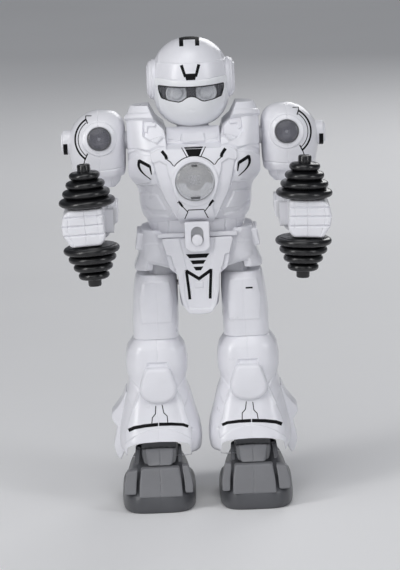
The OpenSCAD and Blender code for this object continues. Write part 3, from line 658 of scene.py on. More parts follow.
WHITE = plastic("white_plastic", (0.79, 0.79, 0.835), 0.3, coat=0.25)
WHITE2 = plastic("white_arm_plastic", (0.79, 0.79, 0.83), 0.32, coat=0.2, blotch=70)
FACE = plastic("face_plastic", (0.83, 0.84, 0.865), 0.3, coat=0.2, blotch=110)
INK = plastic("printed_ink", (0.004, 0.004, 0.005), 0.6, grain=0.00002, blotch=400, spec=0.15)
INK_FINE = plastic("printed_ink_fine", (0.012, 0.012, 0.014), 0.6, grain=0.00002, blotch=400, spec=0.15)
GREY = plastic("grey_plastic", (0.082, 0.084, 0.092), 0.36, var=0.05, grain=0.00008, blotch=120)
GREY2 = plastic("grey_plastic_light", (0.172, 0.174, 0.186), 0.36, var=0.04, grain=0.00008, blotch=120)
BLACK = plastic("black_gloss_plastic", (0.006, 0.006, 0.007), 0.3, var=0.1, grain=0.00003, coat=0.2, blotch=150)
DARK = plastic("black_satin_plastic", (0.02, 0.02, 0.022), 0.45, var=0.1, grain=0.00008, blotch=200)
RUBBER = plastic("rubber", (0.018, 0.018, 0.018), 0.75, var=0.15, grain=0.0001, blotch=300)
EYE = plastic("eye_reflector", (0.80, 0.805, 0.82), 0.28, var=0.06, grain=0.00003, coat=0.3, blotch=260)
PANEL = plastic("eye_panel_plastic", (0.44, 0.445, 0.46), 0.35, var=0.08, grain=0.00003, blotch=260)
SEAT = plastic("lamp_seat", (0.92, 0.92, 0.94), 0.3, var=0.04, grain=0.00003, coat=0.3, blotch=260)
SHADE = plastic("eye_shadow", (0.10, 0.10, 0.11), 0.5, var=0.1, blotch=260)
BOARD = plastic("circuit_board", (0.02, 0.11, 0.06), 0.4, var=0.35, grain=0.00006, blotch=500)
NYLON = plastic("gear_nylon", (0.74, 0.73, 0.66), 0.45, var=0.04, blotch=300)
JACKET = plastic("cell_jacket", (0.05, 0.07, 0.12), 0.28, var=0.25, blotch=60)
WIRE = plastic("wire_insulation", (0.45, 0.02, 0.015), 0.4, var=0.1, blotch=300)
LED = plastic("lamp_block", (0.09, 0.092, 0.105), 0.3, var=0.08, blotch=600)
STEEL = metal("steel", (0.55, 0.55, 0.57), 0.32)
CLEAR = lens_mat("clear_lens", (0.97, 0.97, 1.0), 0.74, 0.06, (0.98, 0.985, 1.0))
SMOKE = lens_mat("smoke_lens", (0.20, 0.202, 0.21), 0.88, 0.05, (0.93, 0.935, 0.95))
LAMP = lens_mat("lamp_lens", (0.21, 0.21, 0.235), 0.55, 0.07, (0.72, 0.72, 0.76))

NODE_MAT = {
    "switch_body": DARK, "speaker": DARK, "battery_box": DARK, "batteries": JACKET, "battery_contacts": STEEL, "screws": STEEL,
    "gearbox_frame": DARK, "motor": STEEL, "hip_pins": STEEL, "wiring": WIRE, "circuit_boards": BOARD, "door_screw": STEEL,
    "motor_pinion": STEEL, "first_gear": NYLON, "second_gear": NYLON, "crankshaft": STEEL, "neck_post": WHITE, "collar": WHITE,
    "foot_roller_left": RUBBER, "foot_roller_right": RUBBER, "foot_sole_left": GREY, "foot_sole_right": GREY,
}
for name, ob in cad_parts.items():
    ob.data.materials.clear()
    ob.data.materials.append(NODE_MAT.get(name, WHITE))

# ------------------------------------------------------------------ chest
PLATE = msym([(0, 197.6), (6, 197.4), (13, 196.8), (19, 196.0), (23.8, 193.9), (23.4, 189.6), (22.6, 188.2), (20.6, 178.8), (17.8, 170), (13.2, 161.3), (9.0, 155.0), (7.4, 150), (0, 150)])
HEXR = [(15.2, 213.4), (21.2, 212.0), (27.4, 211.8), (27.9, 204.0), (25.0, 201.2), (20.6, 199.4), (17.2, 202.6), (15.2, 204.6)]
PADTOP = [(20.2, 213.6), (21.4, 212.5), (30, 213.1), (38.5, 213.4), (38.5, 224), (19, 226), (19, 214.5)]
LENS_C = (0.0, 177.4)


def chest_relief(x, u, P):
    ax = np.abs(x)
    h = plate(x, u, PLATE, 1.7, 0.8)
    # folded flank of the raised plate, below the notch
    h -= plate(ax, u, [(19.0, 189.2), (15.2, 187.0), (14.8, 183.4), (11.6, 172.2), (9.2, 163.6), (10.6, 158.6), (13.6, 161.9), (18.2, 170.4), (21.4, 179), (23.2, 188)], 0.85, 0.8)
    # lamp seat
    r = np.hypot(x - LENS_C[0], u - LENS_C[1])
    h += 0.6 * sstep((13.4 - r) / 0.7)
    # straps over the shoulders
    h += plate(ax, u, [(15.0, 196.6), (19.6, 197.6), (24.6, 195.4), (31, 196.4), (39, 193.4), (39, 216), (15.0, 216)], 0.8, 0.9)
    h -= plate(ax, u, HEXR, 2.0, 0.7)
    h += plate(ax, u, [(18.2, 203.3), (24.6, 201.7), (22.6, 200.0), (19.9, 198.7), (17.0, 201.6)], 1.2, 0.5)
    h += plate(ax, u, [(20.4, 210.6), (22.4, 211.8), (27.2, 211.6), (27.4, 206.5), (25.8, 205.8), (25.2, 209.4), (21.0, 209.0)], 1.1, 0.5)
    # top block of each pad
    h += plate(ax, u, PADTOP, 1.7, 0.7)
    h += plate(ax, u, [(14.0, 216), (14.0, 200.5), (17.0, 202.2), (17.0, 216)], 0.9, 0.5)
    # side wing with the crescent mark
    h += plate(ax, u, [(23.6, 192.6), (31.6, 193.4), (37.6, 190.5), (37.6, 183.6), (34.6, 179.8), (30.6, 177.2), (25.2, 177.8), (21.9, 183.6)], 0.9, 0.9)
    # ribs of the belly
    h -= plate(ax, u, [(32.6, 176.6), (25.8, 175.8), (21.4, 176.5), (18.2, 170), (13.6, 161.5), (15.8, 158.2), (25, 160.2), (31.6, 166)], 0.9, 0.9)
    h += plate(ax, u, [(33.5, 172.6), (26.6, 171.4), (21.8, 170.6), (17.0, 161.8), (25, 162.4), (31, 167)], 1.0, 0.8)
    h += groove(ax, u, [(38.5, 197.2), (31, 196.6), (24.5, 194.4)], 0.5, 0.7)
    return h


def chest_warp(P):
    P = P.copy()
    x, y, z = P[..., 0], P[..., 1], P[..., 2]
    k = np.clip((172 - z) / 13.5, 0, 1) ** 2
    P[..., 2] = z + k * (3.2 * np.clip(1 - (x / 25) ** 2, 0, 1) * np.clip(-y / 12, 0, 1))
    return P


CHEST = [
    (158.5, -25.6, 25.6, -18.6, 18.5, 3.6, 5.0),
    (161, -27.6, 27.6, -20.4, 20.5, 3.6, 5.4),
    (165, -30.3, 30.3, -23.6, 22.6, 3.4, 5.6),
    (171, -31.5, 31.5, -26.4, 23.6, 3.2, 5.4),
    (177, -31.9, 31.9, -28.2, 23.8, 3.0, 5.0),
    (181, -33.2, 33.2, -28.9, 23.8, 3.0, 4.8),
    (184.5, -35.9, 35.9, -29.2, 23.8, 3.0, 4.6),
    (188, -37.2, 37.2, -29.2, 23.8, 3.1, 4.6),
    (196, -37.2, 37.2, -28.3, 23.8, 3.2, 4.6),
    (202, -37.2, 37.2, -26.4, 23.6, 3.3, 4.4),
    (210, -37.2, 37.2, -22.2, 22.6, 3.4, 4.0),
    (217.5, -37.0, 37.0, -18.2, 20.0, 3.4, 3.8),
    (222, -35.4, 35.4, -15.6, 16.5, 3.4, 3.4),
    (225.4, -33.9, 33.9, -12.8, 13.0, 3.4, 3.4),
]
zc = np.concatenate([np.linspace(158.5, 218, 136), np.linspace(218.4, 225.4, 16)])
chest = loft(CHEST, 0, 460, chest_relief, chest_warp, zs=zc, front_share=0.72)
# valley between the pads, deck and bottom opening
valley = prism([(-15.4, 209), (-16.6, 213.5), (-21, 217.5), (-25.2, 227), (-25.2, 240), (25.2, 240), (25.2, 227), (21, 217.5), (16.6, 213.5), (15.4, 209)], "y", -60, 60)
valley2 = prism([(-60, 202.5), (-26.8, 203.4), (-8, 212.2), (14, 212.2), (26, 212.2), (26, 240), (-60, 240)], "x", -15.4, 15.4)
lens_hole = lathe([(11.15, 0), (11.15, 30)], 128, (0, -28, zu(177.4, -28)), (0, -1, 0))
belly_hole = lathe([(21, 0), (21, 6)], 96, (0, 0, 155), (0, 0, 1))
door_pocket = prism([(-23.3, 166.2), (23.3, 166.2), (23.3, 203.6), (4.8, 203.6), (4.8, 209.7), (-4.8, 209.7), (-4.8, 203.6), (-23.3, 203.6)], "y", 21.3, 40)
chest = cut(chest, valley, valley2, lens_hole, belly_hole, door_pocket)
# screw wells in the back
for (sx, sz) in ((29.2, 174), (29.2, 191), (-29.2, 174), (-29.2, 191)):
    chest = cut(chest, lathe([(2.6, 0), (2.6, 30)], 40, (sx, 15.6, sz), (0, 1, 0)))
chest_tree = bvh(chest)
cf, cb = split_y(chest, 0.0)
emit("chest_front_shell", cf, WHITE, "torso", ["chest_front"])
emit("chest_back_shell", cb, WHITE, "torso", ["chest_back"])

# collar deck
gs = []


def on_deck(pts, t, lift=0.0):
    """A bevelled slab on the sloping deck; pts are (x, s) with s along the slope from the front edge."""
    a = np.array([0, -26.8, 203.4])
    b = np.array([0, -8.0, 213.6])
    d = (b - a) / np.linalg.norm(b - a)
    nrm = np.array([0, -d[2], d[1]])
    o = np.array(dense(rpoly(pts, 0.7), 0.8))
    c = o.mean(0)
    rows = [(1.0, -0.4), (1.0, t - 0.3), (0.985, t - 0.1), (0.96, t), (0.5, t)]
    v, f = [], []
    n = len(o)
    for (q, h) in rows:
        for p in o:
            x, s = c + (p - c) * q
            v.append(tuple(a + np.array([x, 0, 0]) + d * s + nrm * (h + lift)))
    for i in range(len(rows) - 1):
        for j in range(n):
            k = (j + 1) % n
            f.append((i * n + j, i * n + k, (i + 1) * n + k, (i + 1) * n + j))
    v.append(tuple(np.mean(v[-n:], axis=0)))
    v.append(tuple(np.mean(v[:n], axis=0)))
    for j in range(n):
        k = (j + 1) % n
        f.append(((len(rows) - 1) * n + j, (len(rows) - 1) * n + k, len(v) - 2))
        f.append((k, j, len(v) - 1))
    return outward(Geo(v, f))


gs.append(on_deck([(-14.9, 5.2), (14.9, 5.2), (14.9, 20.6), (-14.9, 20.6)], 0.5))
gs.append(on_deck([(-14.0, 8.6), (-7.2, 6.6), (-6.6, 12.6), (-14.0, 12.6)], 0.5, 0.45))
gs.append(on_deck([(14.0, 8.6), (7.2, 6.6), (6.6, 12.6), (14.0, 12.6)], 0.5, 0.45))
gs.append(on_deck([(-6.4, 5.0), (6.4, 5.0), (5.8, 13.0), (-5.8, 13.0)], 1.1, 0.4))
gs.append(on_deck([(-3.8, 1.2), (3.8, 1.2), (3.4, 2.8), (-3.4, 2.8)], 0.7, -0.2))
emit("collar_deck", merge(gs), WHITE, "torso", ["collar"])
ring = lathe(rounded([(9.3, 210.8), (14.6, 210.8), (14.6, 213.0), (12.6, 213.0), (12.6, 214.4), (9.3, 214.4)], 0.5, 3), 96)
neck_hole = lathe([(9.3, 200), (9.3, 220)], 96)
emit("collar_ring", cut(lathe(rounded([(0.01, 209.6), (11.3, 209.6), (11.3, 211.2), (10.4, 211.9), (0.01, 211.9)], 0.4, 3), 96), neck_hole), WHITE, "torso", ())

# chest lamp
zl = zu(177.4, -29)
gs = [lathe([(10.95, 0.0), (10.95, 2.2), (10.8, 2.5), (10.3, 2.9), (9, 3.45), (7, 3.95), (5, 4.25), (2.5, 4.45), (0.01, 4.5)], 128, (0, -28.2, zl), (0, -1, 0))]
lens_in = lathe([(10.2, -0.5), (10.2, 2.0), (9, 2.6), (7, 3.1), (5, 3.4), (2.5, 3.6), (0.01, 3.65), (0.01, -0.5)], 128, (0, -28.2, zl), (0, -1, 0))
gs = [cut(gs[0], lens_in)]
emit("chest_lamp_lens", gs[0], CLEAR, "torso", ["chest_lens"])
seat = lathe(rounded([(0.01, 0), (10.9, 0), (10.9, 2.2), (10.2, 2.2), (9.4, 0.8), (0.01, 0.8)], 0.2, 3), 128, (0, -26.3, zl), (0, -1, 0))
emit("chest_lamp_seat", seat, SEAT, "torso", ())
gs = []
for k in range(9):
    zz = zl - 8.0 + k * 1.05
    w = math.sqrt(max(1.0, 9.2**2 - (zz - zl) ** 2))
    gs.append(pillow([(-w, zz), (w, zz), (w, zz + 0.55), (-w, zz + 0.55)], -27.7, -27.0, 0.2, rc=0.2, ds=0.8, rings=3))
emit("chest_lamp_ribs", merge(gs), SEAT, "torso", ())
gs = []
for ix in (-1, 0, 1):
    for iz in (-1, 0, 1):
        cx, cz = ix * 2.1, zl + iz * 1.75 + 0.6
        gs.append(pillow([(cx - 0.75, cz - 0.6), (cx + 0.75, cz - 0.6), (cx + 0.75, cz + 0.6), (cx - 0.75, cz + 0.6)], -29.6, -27.0, 0.2, rc=0.25, ds=0.3, rings=3))
gs.append(pillow([(-3.4, zl + 3.4), (3.4, zl + 3.4), (3.4, zl + 8.6), (-3.4, zl + 8.6)], -27.6, -27.0, 0.2, rc=0.4, rings=3))
emit("chest_lamp_leds", merge(gs), LED, "torso", ())
gs = [pillow([(-1.7, zl + 8.6), (1.7, zl + 8.6), (1.5, zl + 9.6), (-1.5, zl + 9.6)], -32.0, -30.2, 0.15, rc=0.2, ds=0.3, rings=3),
      pillow([(-2.5, zl - 9.7), (2.5, zl - 9.7), (2.7, zl - 8.6), (-2.7, zl - 8.6)], -32.0, -30.2, 0.15, rc=0.2, ds=0.3, rings=3)]
emit("chest_lamp_clips", merge(gs), GREY, "torso", ())
rim = lathe([(10.92, 0), (10.92, 3.1), (11.1, 3.1), (11.1, 0)], 128, (0, -28.2, zl), (0, -1, 0))
emit("chest_lamp_rim", rim, PANEL, "torso", ())

# printed marks of the chest
T = chest_tree
marks = [quad(T, (-5.3, 196.5), (5.3, 196.5), (3.0, 191.3), (-3.0, 191.3))]
fine = []
for s in (1, -1):
    fine.append(ribbon(T, mir([(6.7, 196.3), (3.7, 190.5)], s), 0.5))
    marks.append(ribbon(T, mir([(11.6, 186.2), (13.3, 188.6), (15.4, 190.2)], s), 0.5))
    marks.append(ribbon(T, mir([(15.2, 190.2), (15.7, 192.0), (17.8, 194.9)], s), 1.75))
    marks.append(ribbon(T, mir([(25.0, 186.7), (30.9, 190.3)], s), 1.8))
    marks.append(ribbon(T, mir([(24.0, 182.0), (24.9, 187.0)], s), 0.6, w2=1.3))
    marks.append(ribbon(T, mir([(30.5, 190.6), (31.2, 187.6), (30.2, 184.8), (28.2, 182.4), (24.5, 179.3)], s), 1.7, w2=0.5, rc=1.2))
    marks.append(ribbon(T, mir([(9.9, 166.4), (8.6, 165.2), (7.4, 163.4)], s), 1.5, w2=1.1))
    fine.append(ribbon(T, mir([(7.5, 163.6), (4.7, 160.4), (6.6, 156.7)], s), 0.5))
fine.append(ribbon(T, [(-5.0, 160.7), (-4.2, 161.5), (4.2, 161.5), (5.0, 160.7)], 0.5))
marks.append(ribbon(T, arc_pts(0, 177.2, 14.2, 142, 38), 0.5))
emit("chest_print", merge(marks), INK, "torso", (), smooth=False)
emit("chest_print_fine", merge(fine), INK_FINE, "torso", (), smooth=False)

# ------------------------------------------------------------------ waist and pelvis
def waist_relief(x, u, P):
    ax = np.abs(x)
    return groove(ax, u, [(16.0, 140), (16.0, 165)], 0.55, 0.55) + groove(ax, u, [(22.7, 140), (22.7, 165)], 0.45, 0.6)


waist = loft([(150, -26.0, 26.0, -19.2, 18.4, 3.4, 3.8), (155, -26.4, 26.4, -19.4, 18.4, 3.4, 3.8), (162, -28.2, 28.2, -20.2, 18.8, 3.4, 3.8)], 16, 320, waist_relief)
slot_cut = prism([(-1.7, 149.3), (1.7, 149.3), (1.7, 158), (-1.7, 158)], "y", -40, -10)
waist = cut(waist, slot_cut, loft([(140, -24.2, 24.2, -16.8, 16.4, 5, 5), (170, -24.2, 24.2, -16.8, 16.4, 5, 5)], 6, 100))
emit("waist_shell", waist, WHITE, "torso", ["waist_band"])


def pelvis_relief(x, u, P):
    ax = np.abs(x)
    h = plate(ax, u, [(22.2, 143.8), (30.2, 143.4), (30.6, 136), (28.6, 134), (24.4, 132.6), (19.0, 131.4), (19.4, 136)], 0.3, 0.9)
    h += 0.5 * sstep(1 - np.abs(u - 147.1) / 0.9) * sstep((22 - ax) / 0.8)
    return h


def pelvis_warp(P):
    P = P.copy()
    x, z = np.abs(P[..., 0]), P[..., 2]
    k = np.clip((145 - z) / 8.0, 0, 1)
    low = np.interp(x, [0, 12, 17, 23, 28.2, 29.4, 40], [-2.6, -2.6, -1.2, 0.6, 1.4, -2.6, -2.6])
    up = 3.2 * sstep((x - 21.5) / 3.5) * np.clip((z - 149) / 3.0, 0, 1)
    P[..., 2] = z + k * low + up
    return P


PELVIS = [
    (136.2, -35.9, 35.9, -18.4, 14.8, 6.0, 4.6),
    (137.2, -36.2, 36.2, -19.2, 15.6, 6.0, 4.6),
    (140, -34.8, 34.8, -20.2, 17.0, 5.8, 4.4),
    (144, -33.2, 33.2, -20.8, 18.6, 5.4, 4.4),
    (148.5, -32.6, 32.6, -21.0, 19.2, 5.2, 4.2),
    (151.4, -32.2, 32.2, -20.6, 18.8, 4.8, 4.0),
    (153.2, -31.2, 31.2, -19.6, 18.0, 4.6, 4.0),
]
pel = loft(PELVIS, 60, 380, pelvis_relief, pelvis_warp)
inner = loft([(130, -29.2, 29.2, -17.9, 16.6, 6, 5), (151.0, -29.2, 29.2, -18.6, 17, 6, 5)], 6, 120)
throat = loft([(148, -24.2, 24.2, -16.6, 16, 5, 5), (160, -24.2, 24.2, -16.6, 16, 5, 5)], 6, 100)
pel = cut(pel, inner, throat, prism([(-1.9, 149.3), (1.9, 149.3), (1.9, 158), (-1.9, 158)], "y", -40, -10))
# crotch box
cro = loft([(110.6, -9.8, 9.8, -11.5, 9.5, 4, 4), (112, -10.6, 10.6, -13, 11, 4.5, 4.5), (121, -11.4, 11.4, -16.8, 16.2, 5, 5), (136, -11.5, 11.5, -17.2, 16.8, 5, 5), (141, -11.5, 11.5, -19.6, 18.4, 5, 5), (146, -11.5, 11.5, -20.0, 18.6, 5, 5)], 40, 160)
cro = cut(cro, prism([(-15.3, 121.4), (-11, 112.8), (9.2, 112.8), (14.8, 121.4), (14.8, 135.6), (16.8, 140.8), (17, 150), (-18, 150), (-17.6, 140.8), (-15.3, 135.6)], "x", -9.9, 9.9),
          lathe([(5.4, -14), (5.4, 14)], 48, (0, 0, 126.5), (1, 0, 0)))
pf, pb = split_y(pel, 0.0)
qf, qb = split_y(cro, 0.0)
emit("pelvis_front_shell", pf, WHITE, "torso", ["pelvis_front"])
emit("pelvis_back_shell", pb, WHITE, "torso", ["pelvis_back"])
emit("crotch_front_shell", qf, WHITE, "torso", ())
emit("crotch_back_shell", qb, WHITE, "torso", ())

# front plate of the pelvis
Y = -23.4


def zy(pts, y=Y):
    return [(a, zu(b, y)) for a, b in pts]


FRONT = msym([(0, 145.8), (19.5, 145.8), (20.1, 145.0), (17.9, 136.4), (16.2, 128.9), (11.8, 125.4), (11.2, 116.5), (9.4, 108), (6.2, 103.4), (0, 102.8)][1:])


def front_relief(x, u, P):
    ax = np.abs(x)
    h = -plate(ax, u, [(-12, 148), (10.5, 148), (6.7, 128.3), (8.6, 125.2), (8.2, 112), (6.4, 106), (-8, 106)], 0.6, 0.6)
    h -= plate(ax, u, [(18.6, 136.6), (15.3, 136.2), (14.1, 131.2), (12.8, 128.2), (13.6, 126.4), (17.4, 129)], 0.9, 0.5)
    h += plate(ax, u, [(-3, 117.7), (2.2, 117.7), (2.2, 120.9), (-3, 120.9)], 0.5, 0.4)
    h -= plate(ax, u, [(-3, 116.9), (3.0, 116.9), (3.0, 121.7), (-3, 121.7)], 0.3, 0.4)
    h += groove(ax, u, [(4.9, 120.8), (4.3, 113)], 0.3, 0.4)
    return h


fp = pillow(zy(FRONT), Y, -20.6, 0.7, front_relief, centre=(0, zu(127, Y)), ds=0.5, rings=44, rc=1.0)
fp = cut(fp, prism([(-1.9, 149.3), (1.9, 149.3), (1.9, 158), (-1.9, 158)], "y", -40, -10))
fp_tree = bvh(fp)
emit("crotch_front_plate", fp, WHITE, "torso", ["crotch_plate"])

# belt rim above the front plate
gs = []
for s in (1, -1):
    o = [(s * a, b) for a, b in [(7.0, zu(148.9, -21)), (22.5, zu(148.9, -21)), (22.5, zu(146.6, -21)), (7.0, zu(146.6, -21))]]
    gs.append(pillow(o, -21.9, -19.6, 0.5, rc=0.5, ds=0.6, rings=4))
emit("belt_rim", merge(gs), WHITE, "torso", ())

# buckle plate with its slot
YB = -26.4
BK = msym([(7.0, 154.6), (7.0, 140.2), (3.8, 137.8)])
bk = pillow(zy(BK, YB), YB, -23.2, 0.6, centre=(0, zu(147, YB)), ds=0.5, rings=14, rc=0.9)
z0, z1 = zu(144.9, YB), zu(148.4, YB)
slot_pts = [(3.5 * math.cos(a), z0 + 3.5 * math.sin(a)) for a in np.linspace(math.pi, 2 * math.pi, 20)] + [(3.5 * math.cos(a), z1 + 0.2 + 3.5 * math.sin(a)) for a in np.linspace(0, math.pi, 20)]
bk = cut(bk, prism(slot_pts, "y", -30, -20))
emit("buckle_plate", bk, WHITE, "torso", ["switch_plate"], bevel=0.12)
well = pillow([(p[0] * 1.05, z0 + (p[1] - z0) * 1.02) for p in slot_pts], -23.9, -23.5, 0.1, rc=0.05, ds=0.8, rings=3)
emit("buckle_slot_floor", well, PANEL, "torso", ())
kn = lathe(rounded([(0.01, 0), (3.1, 0), (3.1, 3.5), (0.01, 3.9)], 0.5, 4), 64, (0, -24.3, 151.5), (0, -1, 0))
kn = kn.join(prism([(-1.3, 150.2), (1.3, 150.2), (1.3, 152.8), (-1.3, 152.8)], "y", -24.3, -16.2))
emit("switch_knob_cap", kn, WHITE2, "switch_slider", ["switch_knob"])

P2 = fp_tree
marks = [
    quad(P2, (-6.8, 136.9), (6.5, 136.9), (4.6, 134.6), (-5.0, 134.6)),
    quad(P2, (-4.6, 133.3), (4.3, 133.3), (2.8, 131.2), (-3.2, 131.2)),
    quad(P2, (-2.9, 129.7), (2.7, 129.7), (1.3, 127.6), (-1.6, 127.6)),
    ribbon(P2, [(-7.0, 128.2), (-5.9, 116.5), (-5.6, 111.5)], 1.6),
    ribbon(P2, [(7.0, 128.2), (6.1, 116.5), (5.8, 111.5)], 1.6),
    ribbon(P2, [(-6.9, 127.5), (0, 122.9), (6.9, 127.5)], 1.8),
]
emit("pelvis_print", merge(marks), INK, "torso", (), smooth=False)

# hip guards
gs = []
for s in (1, -1):
    o2 = [(26.0, 154.6), (33.9, 154.8), (34.2, 151), (35.2, 146.0), (34.0, 145.4), (30, 144.4), (28, 150)]
    gs.append(pillow([(s * a, b) for a, b in o2], -15.4, 10.6, 0.8, centre=(s * 31.3, 151.3), ds=0.6, rings=5, rc=0.5))
emit("hip_guard_shells", merge(gs), WHITE, "torso", ["hip_guards"])

# battery cover
door = pillow([(-22.9, 166.5), (22.9, 166.5), (22.9, 203.3), (4.5, 203.3), (4.5, 209.4), (-4.5, 209.4), (-4.5, 203.3), (-22.9, 203.3)], 0, 2.0, 0.4, centre=(0, 188), ds=1.0, rings=20, rc=1.2)
dv = door.v.copy()
dv[:, 1] = 23.7 - dv[:, 1]
door = outward(Geo(dv, door.f))
for k in range(6):
    zz = 170.5 + k * 3.0
    door = cut(door, prism(rpoly([(-14, zz), (14, zz), (14, zz + 1.2), (-14, zz + 1.2)], 0.5, 3), "y", 23.1, 30))
door = cut(door, lathe([(2.6, 0), (2.6, 10)], 40, (0, 22.6, 206.3), (0, 1, 0)))
inter = loft([(k[0], k[1], k[2], k[3], k[4] - 0.05, k[5], k[6]) for k in CHEST], 60, 160)
door = boolean(door, inter, "INTERSECT")
emit("battery_cover", door, WHITE, "battery_cover", ["battery_door"])

# ------------------------------------------------------------------ head
HC = 239.0


def ellip(nu, nv, inset=0.0, relief=None):
    """The helmet ellipsoid, poles up and down."""
    v, f = [], []
    th = np.linspace(-math.pi / 2, math.pi / 2, nv)
    ph = np.linspace(-math.pi, math.pi, nu, endpoint=False)
    rows = []
    for a in th:
        q = 0.9 if a > 0 else 0.76
        b = math.copysign(abs(math.sin(a)) ** q, math.sin(a))
        r = (22.75 - inset) * max(0.0, math.cos(a)) ** q
        h = (23.9 if b > 0 else 26.3) - inset
        rows.append(np.stack([r * np.sin(ph) * 0.965, -r * np.cos(ph), np.full(nu, HC + h * b)], 1))
    P = np.array(rows)
    if relief is not None:
        C = np.array([0, 0, HC])
        N = P - C
        N /= np.linalg.norm(N, axis=2, keepdims=True) + 1e-9
        P = P + N * relief(P, N)[..., None]
    m, n = P.shape[:2]
    v = [tuple(p) for p in P[1:-1].reshape(-1, 3)]
    for i in range(m - 3):
        for j in range(n):
            k = (j + 1) % n
            f.append((i * n + j, i * n + k, (i + 1) * n + k, (i + 1) * n + j))
    v += [tuple(P[0].mean(0)), tuple(P[-1].mean(0))]
    for j in range(n):
        k = (j + 1) % n
        f.append((k, j, len(v) - 2))
        f.append(((m - 3) * n + j, (m - 3) * n + k, len(v) - 1))
    return outward(Geo(v, f))


SEAM = [(-21.5, 237.4), (-19, 236.3), (-14, 234.8), (-8, 233.6), (0, 233.0), (8, 233.6), (14, 234.8), (19, 236.3), (21.5, 237.4)]
BROW = [(-19.5, 246.5), (-19, 245.2), (-13, 243.9), (-6, 243.2), (0, 243.0), (6, 243.2), (13, 243.9), (19, 245.2), (19.5, 246.5)]


def head_relief(P, N):
    x, y = P[..., 0], P[..., 1]
    u = U_of(P)
    front = sstep((-N[..., 1] - 0.02) / 0.2)
    h = np.zeros_like(x)
    us = np.interp(x, [p[0] for p in SEAM], [p[1] for p in SEAM])
    ub = np.interp(x, [p[0] for p in BROW], [p[1] for p in BROW])
    # forehead band and visor lip
    band = sstep((u - us) / 0.6 + 0.5) * sstep((ub - u) / 0.7 + 0.5) * sstep((19.4 - np.abs(x)) / 0.8 + 0.5)
    h += 0.45 * band
    top = np.interp(np.abs(x), [0, 12, 19, 22], [230.0, 230.8, 232.2, 232.6])
    lip = sstep((us - u) / 0.5 + 0.5) * sstep((u - top) / 1.2 + 0.8) * sstep((21.6 - np.abs(x)) / 1.2)
    h += 0.75 * lip
    h -= 0.4 * sstep(1 - np.abs(u - us) / 0.45) * sstep((21 - np.abs(x)) / 0.5)
    h *= front
    # ridge in front of each ear disc, running up over the crown
    ax = np.abs(x)
    rg = sstep(1 - np.abs(ax - 18.9 + 0.02 * (P[..., 2] - 238) ** 2 * 0.35) / 0.8)
    h += 0.35 * rg * sstep((258 - P[..., 2]) / 3) * sstep((P[..., 2] - 222) / 3) * front
    # soft chin dent
    h -= front * 0.35 * sstep(1 - np.hypot(x / 3.2, (u - 217.0) / 1.2))
    return h


head = ellip(300, 200, 0.0, head_relief)
VIS = [(-18.6, 232.3), (-12, 230.9), (-6, 230.2), (0, 230.0), (6, 230.2), (12, 230.9), (18.6, 232.3), (18.5, 229.2), (17.0, 224.7), (12.2, 222.6), (7.2, 221.5), (5.4, 221.9), (2.4, 223.8), (0, 224.3), (-2.4, 223.8), (-5.4, 221.9), (-7.2, 221.5), (-12.2, 222.6), (-17.0, 224.7), (-18.5, 229.2)]
VISR = rpoly(VIS, 0.8, 3)
vis_cut = prism_view(VISR, -40, -11.0)
neck_cut = lathe([(9.2, 205), (9.2, 226)], 64)
head = cut(head, vis_cut)
head_tree = bvh(head)
# split into helmet and face guard along the brow seam
face_region = prism_view([(-40, 180), (-40, 239)] + SEAM + [(40, 239), (40, 180)], -60, -4.0)
face = boolean(head, face_region, "INTERSECT")
helm = boolean(head, face_region)
emit("helmet_shell", helm, WHITE, "head", ["helmet"])
emit("face_guard_shell", face, FACE, "head", ["face_guard"])

# ear discs
gs = []
for s in (1, -1):
    pr = rounded([(0.01, -5), (11.4, -5), (11.4, 0.4), (10.6, 1.0), (10.6, 1.9), (9.7, 2.6), (8.8, 2.6), (8.2, 3.4), (6.8, 3.6), (4.3, 3.6), (4.0, 3.1), (0.01, 3.1)], 0.4, 3)
    gs.append(lathe(pr, 96, (s * 21.25, 1, 239.5), (s, 0, 0)))
emit("ear_discs", merge(gs), WHITE, "head", ["ear_caps"])

# visor: a thin skin just inside the opening
inner_t = bvh(ellip(160, 110, 0.75))
rows = []
xs = np.linspace(-18.55, 18.55, 90)
up = sorted([p for p in VIS[:7]])
lo = sorted(VIS[7:])
for x in xs:
    t = np.interp(x, [p[0] for p in up], [p[1] for p in up])
    b = np.interp(x, [p[0] for p in lo], [p[1] for p in lo])
    rows.append([(x, b + (t - b) * k / 16) for k in range(17)])
g = patch_grid(inner_t, rows, 0.0)
gb = Geo(g.v + np.array([0, 0.8, 0]), [tuple(reversed(q)) for q in g.f])
emit("visor_lens", g, SMOKE, "head", ["visor"])

# painted shade: a dark ring laid along the edge of the visor opening stands in for the shadow that rims the opening
visor_shade_ring = ribbon(inner_t, VIS, 1.3, off=0.07, closed=True)
emit("visor_painted_shade_ring", visor_shade_ring, DARK, "head", (), smooth=False)

# eyes behind the visor
pan = pillow([(-18.4, zu(220.2, -12)), (18.4, zu(220.2, -12)), (18.4, zu(233.4, -12)), (-18.4, zu(233.4, -12))], -12.2, -10.0, 0.3, rc=1.0, ds=0.8, rings=8)
head_in = ellip(160, 110, 1.3)
pan = boolean(pan, head_in, "INTERSECT")
emit("eye_panel", pan, PANEL, "head", ["eye_reflectors"])
gs, ds_ = [], []
for s in (1, -1):
    c = (s * 8.2, -12.9, zu(226.9, -12.9))
    pr = rounded([(0.01, 0), (6.1, 0), (6.1, 1.3), (5.5, 1.9), (5.0, 1.2), (4.5, 0.8), (3.5, 0.7), (3.2, 1.6), (2.8, 2.0), (0.01, 2.35)], 0.25, 3)
    gs.append(lathe(pr, 72, c, (0, -CE, SE)))
    ds_.append(lathe([(5.15, 1.62), (5.3, 1.9), (5.45, 1.95), (5.75, 1.62)], 72, c, (0, -CE, SE)))
emit("eye_cups", merge([boolean(g, head_in, "INTERSECT") for g in gs]), EYE, "head", ())
